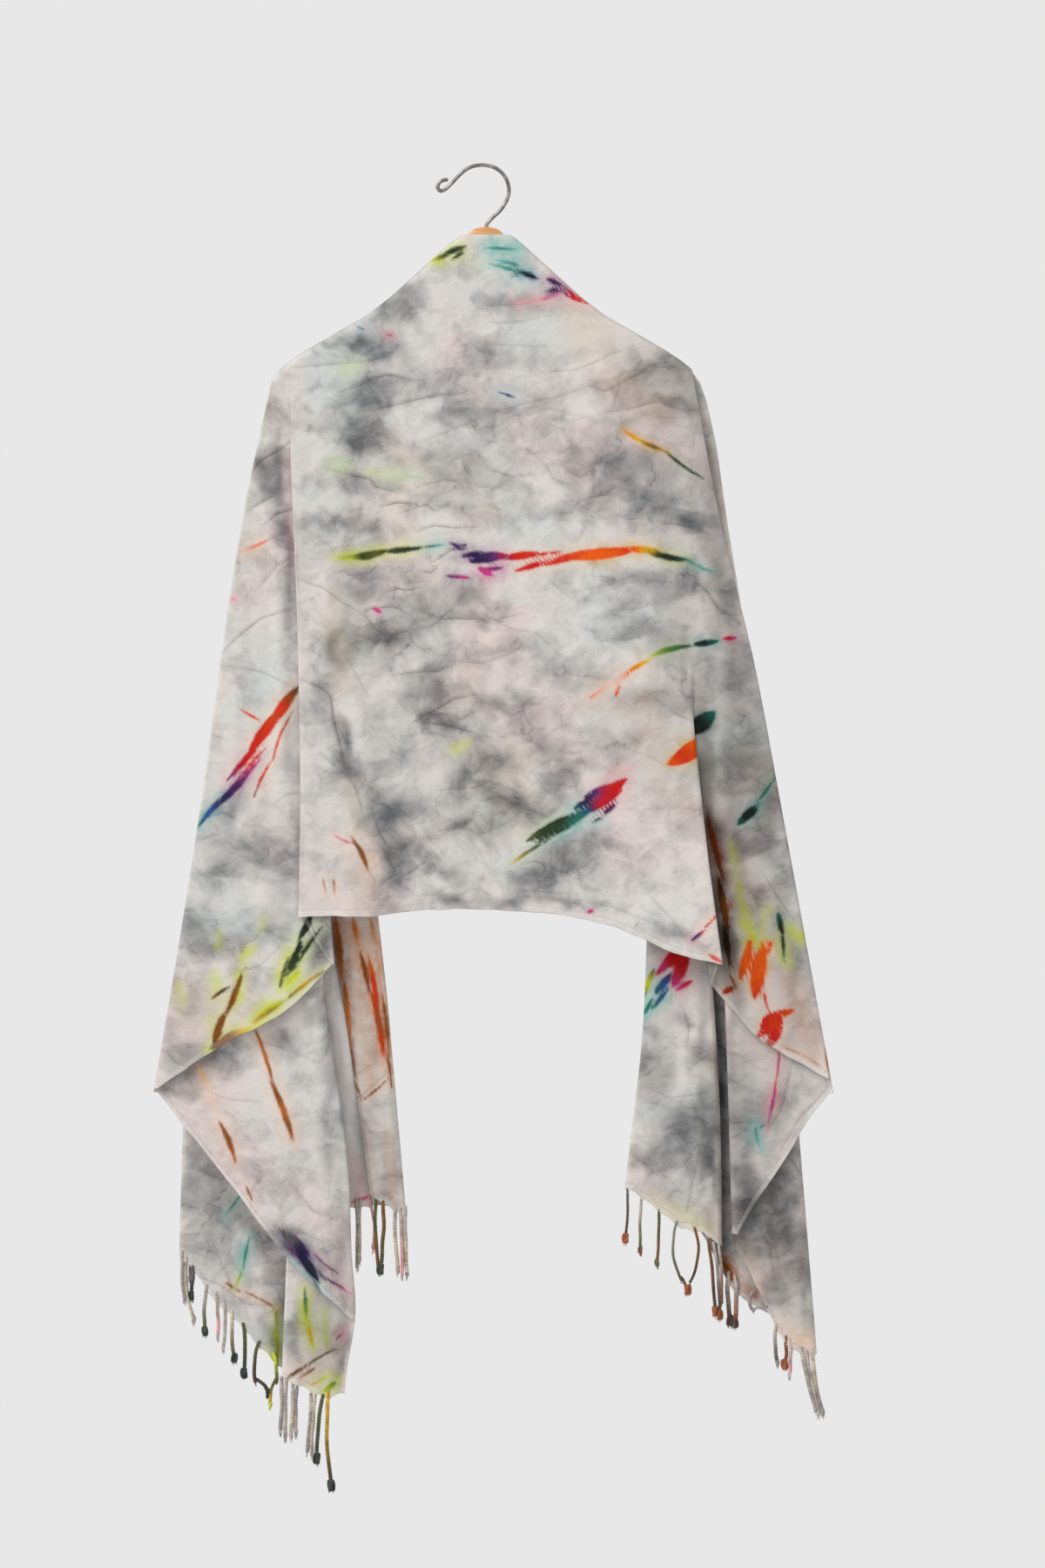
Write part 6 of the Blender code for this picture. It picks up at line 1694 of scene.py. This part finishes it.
def tube(bm, path, radius, sides, tone_layer, tones, caps=True):
    """A round strand along a list of points; tones is a colour per point."""
    rings = []
    n = len(path)
    last = Vector((1, 0, 0))
    for i, p in enumerate(path):
        ahead = (path[min(i + 1, n - 1)] - path[max(i - 1, 0)])
        ahead = ahead.normalized() if ahead.length > 1e-9 else Vector((0, 0, -1))
        across = last - ahead * last.dot(ahead)
        if across.length < 1e-6:
            across = ahead.orthogonal()
        across.normalize()
        last = across
        up = ahead.cross(across)
        r = radius(i / max(n - 1, 1)) if callable(radius) else radius
        ring = []
        for k in range(sides):
            a = 2 * math.pi * k / sides
            v = bm.verts.new((p + (across * math.cos(a) + up * math.sin(a)) * r) / 1000)
            v[tone_layer] = (*tones[i], 1)
            ring.append(v)
        rings.append(ring)
    for a, b in zip(rings, rings[1:]):
        for k in range(sides):
            bm.faces.new((a[k], a[(k + 1) % sides], b[(k + 1) % sides], b[k]))
    if caps:
        bm.faces.new(rings[0][::-1])
        bm.faces.new(rings[-1])


def twisted_cord(bm, layer, rng, start, end, bow, tone0, tone1, knot, knot_tone, thick, sag):
    length = (end - start).length
    steps = max(int(length / 0.95), 8)
    phase = rng.uniform(0, math.pi)
    axis = []
    side = Vector((1, 0, 0))
    wob = rng.uniform(0.4, 1.0), rng.uniform(2, 4), rng.uniform(0, 6)
    for i in range(steps + 1):
        s = i / steps
        p = start.lerp(end, s)
        p = p + side * (bow * 4 * s * (1 - s) + 0.45 * wob[0] * math.sin(wob[1] * s * 3 + wob[2]) * min(s * 4, 1))
        p = p + Vector((0, -1, 0)) * 0.5 * math.sin(wob[1] * s * 2.2 + 1 + wob[2]) * min(s * 4, 1)
        axis.append(p)
    pitch = 5.4
    for strand in (0, 1):
        path, tones = [], []
        for i, p in enumerate(axis):
            s = i / steps
            a = phase + strand * math.pi + 2 * math.pi * s * length / pitch
            reach = 0.92 * thick * (0.55 + 0.45 * min(s * 8, 1))
            path.append(p + Vector((math.cos(a), math.sin(a), 0)) * reach)
            blend = smooth((s - 0.15) / 0.8)
            speck = 0.88 + 0.24 * (math.sin(i * 0.9 + strand * 2 + phase) * 0.5 + 0.5)
            tones.append(tuple((tone0 * (1 - blend) + tone1 * blend) * speck))
        tube(bm, path, lambda s: 1.08 * thick, 6, layer, tones)
    if knot:
        centre = axis[-1]
        path, tones = [], []
        turn_a = rng.uniform(0, 6)
        for i in range(49):
            t = 2 * math.pi * i / 48
            x = math.sin(t) + 2 * math.sin(2 * t)
            y = math.cos(t) - 2 * math.cos(2 * t)
            z = -1.15 * math.sin(3 * t)
            k = knot / 2 / 3.1
            q = Vector((x * math.cos(turn_a) - y * math.sin(turn_a), x * math.sin(turn_a) + y * math.cos(turn_a), z * 4.2)) * k * 0.64
            path.append(centre + q + Vector((0, 0, -knot * 0.15)))
            tones.append(tuple(knot_tone * (0.8 + 0.4 * abs(math.sin(t * 1.5)))))
        tube(bm, path, knot * 0.21, 7, layer, tones)
        # the tuft below the knot
        for _ in range(9):
            a = rng.uniform(0, 2 * math.pi)
            spread = rng.uniform(0.3, 1.0) * knot * 0.32
            down = rng.uniform(3.5, 7.5)
            p0 = centre + Vector((math.cos(a) * 0.5, math.sin(a) * 0.5, -knot * 0.3))
            p1 = centre + Vector((math.cos(a) * spread, math.sin(a) * spread * 0.6, -knot * 0.3 - down * 0.6))
            p2 = centre + Vector((math.cos(a) * spread * 1.3, math.sin(a) * spread * 0.8, -knot * 0.3 - down))
            path = [p0, p0.lerp(p1, 0.6), p1, p1.lerp(p2, 0.6), p2]
            tube(bm, path, lambda s: 0.36 * (1 - 0.5 * s), 4, layer, [tuple(knot_tone)] * 5)
    else:
        for _ in range(5):
            a = rng.uniform(0, 2 * math.pi)
            down = rng.uniform(1.5, 4.0)
            p0 = axis[-1]
            p1 = axis[-1] + Vector((math.cos(a) * 0.7, math.sin(a) * 0.7, -down))
            tube(bm, [p0, p0.lerp(p1, 0.5), p1], lambda s: 0.34 * (1 - 0.4 * s), 4, layer, [tuple(tone1)] * 3)


def fringe_piece(name, stretch, cords, material):
    rng = random.Random(sum(map(ord, name)))
    bm = bmesh.new()
    layer = bm.verts.layers.float_color.new("tone")
    for item in cords:
        _, c0, r0, c1, r1, bow, tone0, tone1, knot, knot_tone, thick = item
        x0, y0, d0 = stretch_at(stretch, c0, r0)
        x1, y1, d1 = stretch_at(stretch, c1, r1)
        start = Vector((x0, y0, -d0 + 3.0))
        end = Vector((x1, y0 + rng.uniform(-1.2, 1.2), -d1))
        twisted_cord(bm, layer, rng, start, end, bow * SQUARE, linear(tone0), linear(tone1), knot * 2.0,
                     linear(knot_tone), thick, 0)
    mesh = bpy.data.meshes.new(name)
    bmesh.ops.recalc_face_normals(bm, faces=bm.faces)
    bm.to_mesh(mesh)
    bm.free()
    mesh.shade_smooth()
    mesh.materials.append(material)
    obj = bpy.data.objects.new(name, mesh)
    bpy.context.scene.collection.objects.link(obj)
    return obj


# ------------------------------------------------------------- hanger and hook
def wood_piece(material):
    """The arms of the hanger as a loft of rounded sections."""
    thick, neck_high, tip_high, under = 11.0, 27.0, 15.0, 5.6
    n, m = 90, 20
    bm = bmesh.new()
    rings = []
    for i in range(-n, n + 1):
        tip = abs(i) / n
        out = HANGER_HALF * math.sin(tip * math.pi / 2) if tip > 0.6 else HANGER_HALF * tip * math.sin(0.6 * math.pi / 2) / 0.6
        out = HANGER_HALF * tip
        x = HANGER_CENTRE + math.copysign(out, i)
        high = neck_high + (tip_high - neck_high) * float(smooth(tip * 1.4))
        cover = under * float(smooth((out - 10) / 20))
        round_end = math.sqrt(max(1 - max((tip - 0.955) / 0.045, 0) ** 2, 0.0))
        top = float(ridge_drop(x)) + cover
        middle = top + high / 2
        hz = high / 2 * (0.12 + 0.88 * round_end)
        hy = thick / 2 * (0.2 + 0.8 * round_end)
        ring = []
        for k in range(m):
            a = 2 * math.pi * k / m
            c, s = math.cos(a), math.sin(a)
            power = 0.55
            y = hy * math.copysign(abs(c) ** power, c)
            z = hz * math.copysign(abs(s) ** power, s)
            ring.append(bm.verts.new(Vector((x, y, -middle + z)) / 1000))
        rings.append(ring)
    for a, b in zip(rings, rings[1:]):
        for k in range(m):
            bm.faces.new((a[k], a[(k + 1) % m], b[(k + 1) % m], b[k]))
    bm.faces.new(rings[0][::-1])
    bm.faces.new(rings[-1])
    bmesh.ops.recalc_face_normals(bm, faces=bm.faces)
    mesh = bpy.data.meshes.new("wooden_hanger")
    bm.to_mesh(mesh)
    bm.free()
    mesh.shade_smooth()
    mesh.materials.append(material)
    obj = bpy.data.objects.new("wooden_hanger", mesh)
    bpy.context.scene.collection.objects.link(obj)
    return obj


HOOK = (
    (4.5, -84), (4.5, -66), (4.7, -60.5), (6.8, -56.5), (11.5, -51.5),
    (18, -45.5), (23.5, -38),
    (27, -30), (27.8, -22), (25.4, -13), (20.3, -5.6), (13, -0.4), (4, 2.0),
    (-4, 2.0), (-12.2, 0), (-19.5, -4.5), (-26, -10.8), (-32, -17.2),
    (-37.8, -22.6), (-43, -24.4), (-45.8, -21), (-44.4, -16.4), (-40, -13.4),
    (-35, -12.8),
)


def hook_piece(material):
    guide = [Vector((x, 0, z)) for x, z in HOOK]
    path = []
    for i in range(len(guide) - 1):
        p0, p1 = guide[max(i - 1, 0)], guide[i]
        p2, p3 = guide[i + 1], guide[min(i + 2, len(guide) - 1)]
        for k in range(6):
            f = k / 6
            path.append(0.5 * (2 * p1 + (p2 - p0) * f + (2 * p0 - 5 * p1 + 4 * p2 - p3) * f * f
                               + (3 * p1 - p0 - 3 * p2 + p3) * f ** 3))
    path.append(guide[-1])
    bm = bmesh.new()
    layer = bm.verts.layers.float_color.new("tone")
    n = len(path) - 1
    tube(bm, path, lambda s: 2.0 * (1 if s < 0.985 else 1 - 0.5 * ((s - 0.985) / 0.015) ** 2), 16, layer,
         [(0.4, 0.4, 0.4)] * len(path))
    bmesh.ops.recalc_face_normals(bm, faces=bm.faces)
    mesh = bpy.data.meshes.new("wire_hook")
    bm.to_mesh(mesh)
    bm.free()
    mesh.shade_smooth()
    mesh.materials.append(material)
    obj = bpy.data.objects.new("wire_hook", mesh)
    bpy.context.scene.collection.objects.link(obj)
    return obj


# ---------------------------------------------------------------------- build
def main():
    scene = bpy.context.scene
    # camera at the photograph's angle, level and straight on
    camera = bpy.data.objects.new("camera", bpy.data.cameras.new("camera"))
    camera.data.lens = 80
    camera.data.sensor_width = 36
    camera.location = (0.04185, -3.6, -0.6372)
    camera.rotation_euler = (math.pi / 2, 0, 0)
    camera.data.clip_end = 100
    scene.collection.objects.link(camera)
    scene.camera = camera

    cloth = cloth_material()
    cord = cord_material()
    wood = wood_material()
    steel = steel_material()

    cords = CORDS + hidden_cords()
    for item in cords:
        x, _, _ = stretch_at(item[0], item[1], item[2])
        SCALLOPS.setdefault(item[0], []).append(x)

    sheets = [
        # piece, stretches, flats, rows, over the arm, hems, flat size, rests on, side edge
        ("cloth_front", ["-left_wing_front", "-left_turn", "centre_panel", "right_turn", "right_wing_front"],
         [34, 8, 120, 5, 26], 186, True, ("left_wing_front", "left_turn", "centre_panel", "right_turn", "right_wing_front"),
         (0.70, 0.78), ["wooden_hanger"], None),
        ("cloth_left_wing_back", ["left_wing_back"], [48], 190, None, ("left_wing_back",), (0.22, 0.75), ["cloth_front"], None),
        ("cloth_left_tail", ["left_tail_front", "left_tail_turn", "left_tail_outer"], [26, 8, 40], 180, None, (),
         (0.27, 0.90), ["cloth_left_back"], None),
        ("cloth_left_back", ["left_back"], [60], 190, True, (), (0.27, 1.0), ["wooden_hanger"], None),
        ("cloth_left_strip", ["left_strip"], [22], 170, None, (), (0.045, 0.78), ["cloth_left_back"], "left_free"),
        ("cloth_right_wing_back", ["right_wing_back"], [40], 180, None, ("right_wing_back",), (0.13, 0.70), ["cloth_front"], None),
        ("cloth_right_tail", ["right_tail_front"], [40], 180, None, (), (0.10, 0.90), ["cloth_right_back"], None),
        ("cloth_right_back", ["right_back"], [60], 190, True, (), (0.25, 1.0), ["wooden_hanger"], None),
        ("cloth_right_strip", ["right_strip"], [26], 170, None, (), (0.075, 0.80), ["cloth_right_back"], "right_free"),
    ]
    fringes = {
        "fringe_left_outer": ("left_tail_outer", "left_fringe_outer"),
        "fringe_left_front": ("left_tail_front", "left_fringe_front"),
        "fringe_left_back": ("left_back", "left_fringe_back"),
        "fringe_left_strip": ("left_strip", "left_fringe_strip"),
        "fringe_right_front": ("right_tail_front", "right_fringe_front"),
        "fringe_right_back": ("right_back", "right_fringe_back"),
        "fringe_right_strip": ("right_strip", "right_fringe_strip"),
    }
    for name, (stretch, node) in fringes.items():
        obj = fringe_piece(name, stretch, [c for c in cords if c[0] == stretch], cord)
        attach(obj, "root")
        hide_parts(node)

    wooden = wood_piece(wood)
    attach(wooden, "root")
    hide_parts("hanger_body")
    wire = hook_piece(steel)
    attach(wire, "root")
    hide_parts("hanger_hook")

    for name, stretches, flats, rows, over_arm, hems, flat, rests, side in sheets:
        cols, pts, drops, edge, layer, turned = sheet_grid(stretches, flats, rows, over_arm)
        pts = dress(cols, pts, drops, edge, layer, turned, hems)
        band = None
        if side:
            free = fold_x(side, drops)
            band = np.clip(np.abs(pts[:, :, 0] - free) / 8.0, 0, 1)
        obj = build_mesh(name, cols, pts, drops, edge, layer, turned, cloth, band)
        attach(obj, "root")
        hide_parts(*[s.lstrip("-") for s in stretches])
        # the area of the cut that this stretch is made of
        a = pts[:-1, :-1] / 1000
        b, c, d = pts[1:, :-1] / 1000, pts[1:, 1:] / 1000, pts[:-1, 1:] / 1000
        area = (np.linalg.norm(np.cross(b - a, c - a), axis=-1).sum() + np.linalg.norm(np.cross(c - a, d - a), axis=-1).sum()) / 2
        print("AREA", name, round(float(area), 4), "faces", len(obj.data.polygons))

    # floor, light and surroundings
    bpy.ops.mesh.primitive_plane_add(size=60, location=(0, 0, -1.85))
    floor = bpy.context.object
    floor.name = "floor"
    ground = Tree("floor_look")
    ground.shader.inputs["Base Color"].default_value = (FLOOR_ALBEDO, FLOOR_ALBEDO, FLOOR_ALBEDO, 1)
    ground.shader.inputs["Roughness"].default_value = 1.0
    ground.shader.inputs["Specular IOR Level"].default_value = 0.0
    floor.data.materials.append(ground.material)

    world = bpy.data.worlds.new("surroundings")
    scene.world = world
    world.use_nodes = True
    sky = world.node_tree.nodes["Background"]
    sky.inputs["Color"].default_value = (1, 1, 1, 1)
    sky.inputs["Strength"].default_value = 0.807
    for label, rotation, energy, angle in (
        ("key", (math.radians(52), 0, math.radians(-46)), KEY, math.radians(30)),
    ):
        lamp = bpy.data.lights.new(label, "SUN")
        lamp.energy = energy
        lamp.angle = angle
        holder = bpy.data.objects.new(label, lamp)
        holder.rotation_euler = rotation
        scene.collection.objects.link(holder)
    scene.view_settings.view_transform = "Standard"
    scene.view_settings.look = "None"


FLOOR_ALBEDO = 0.708
KEY = 1.7

main()
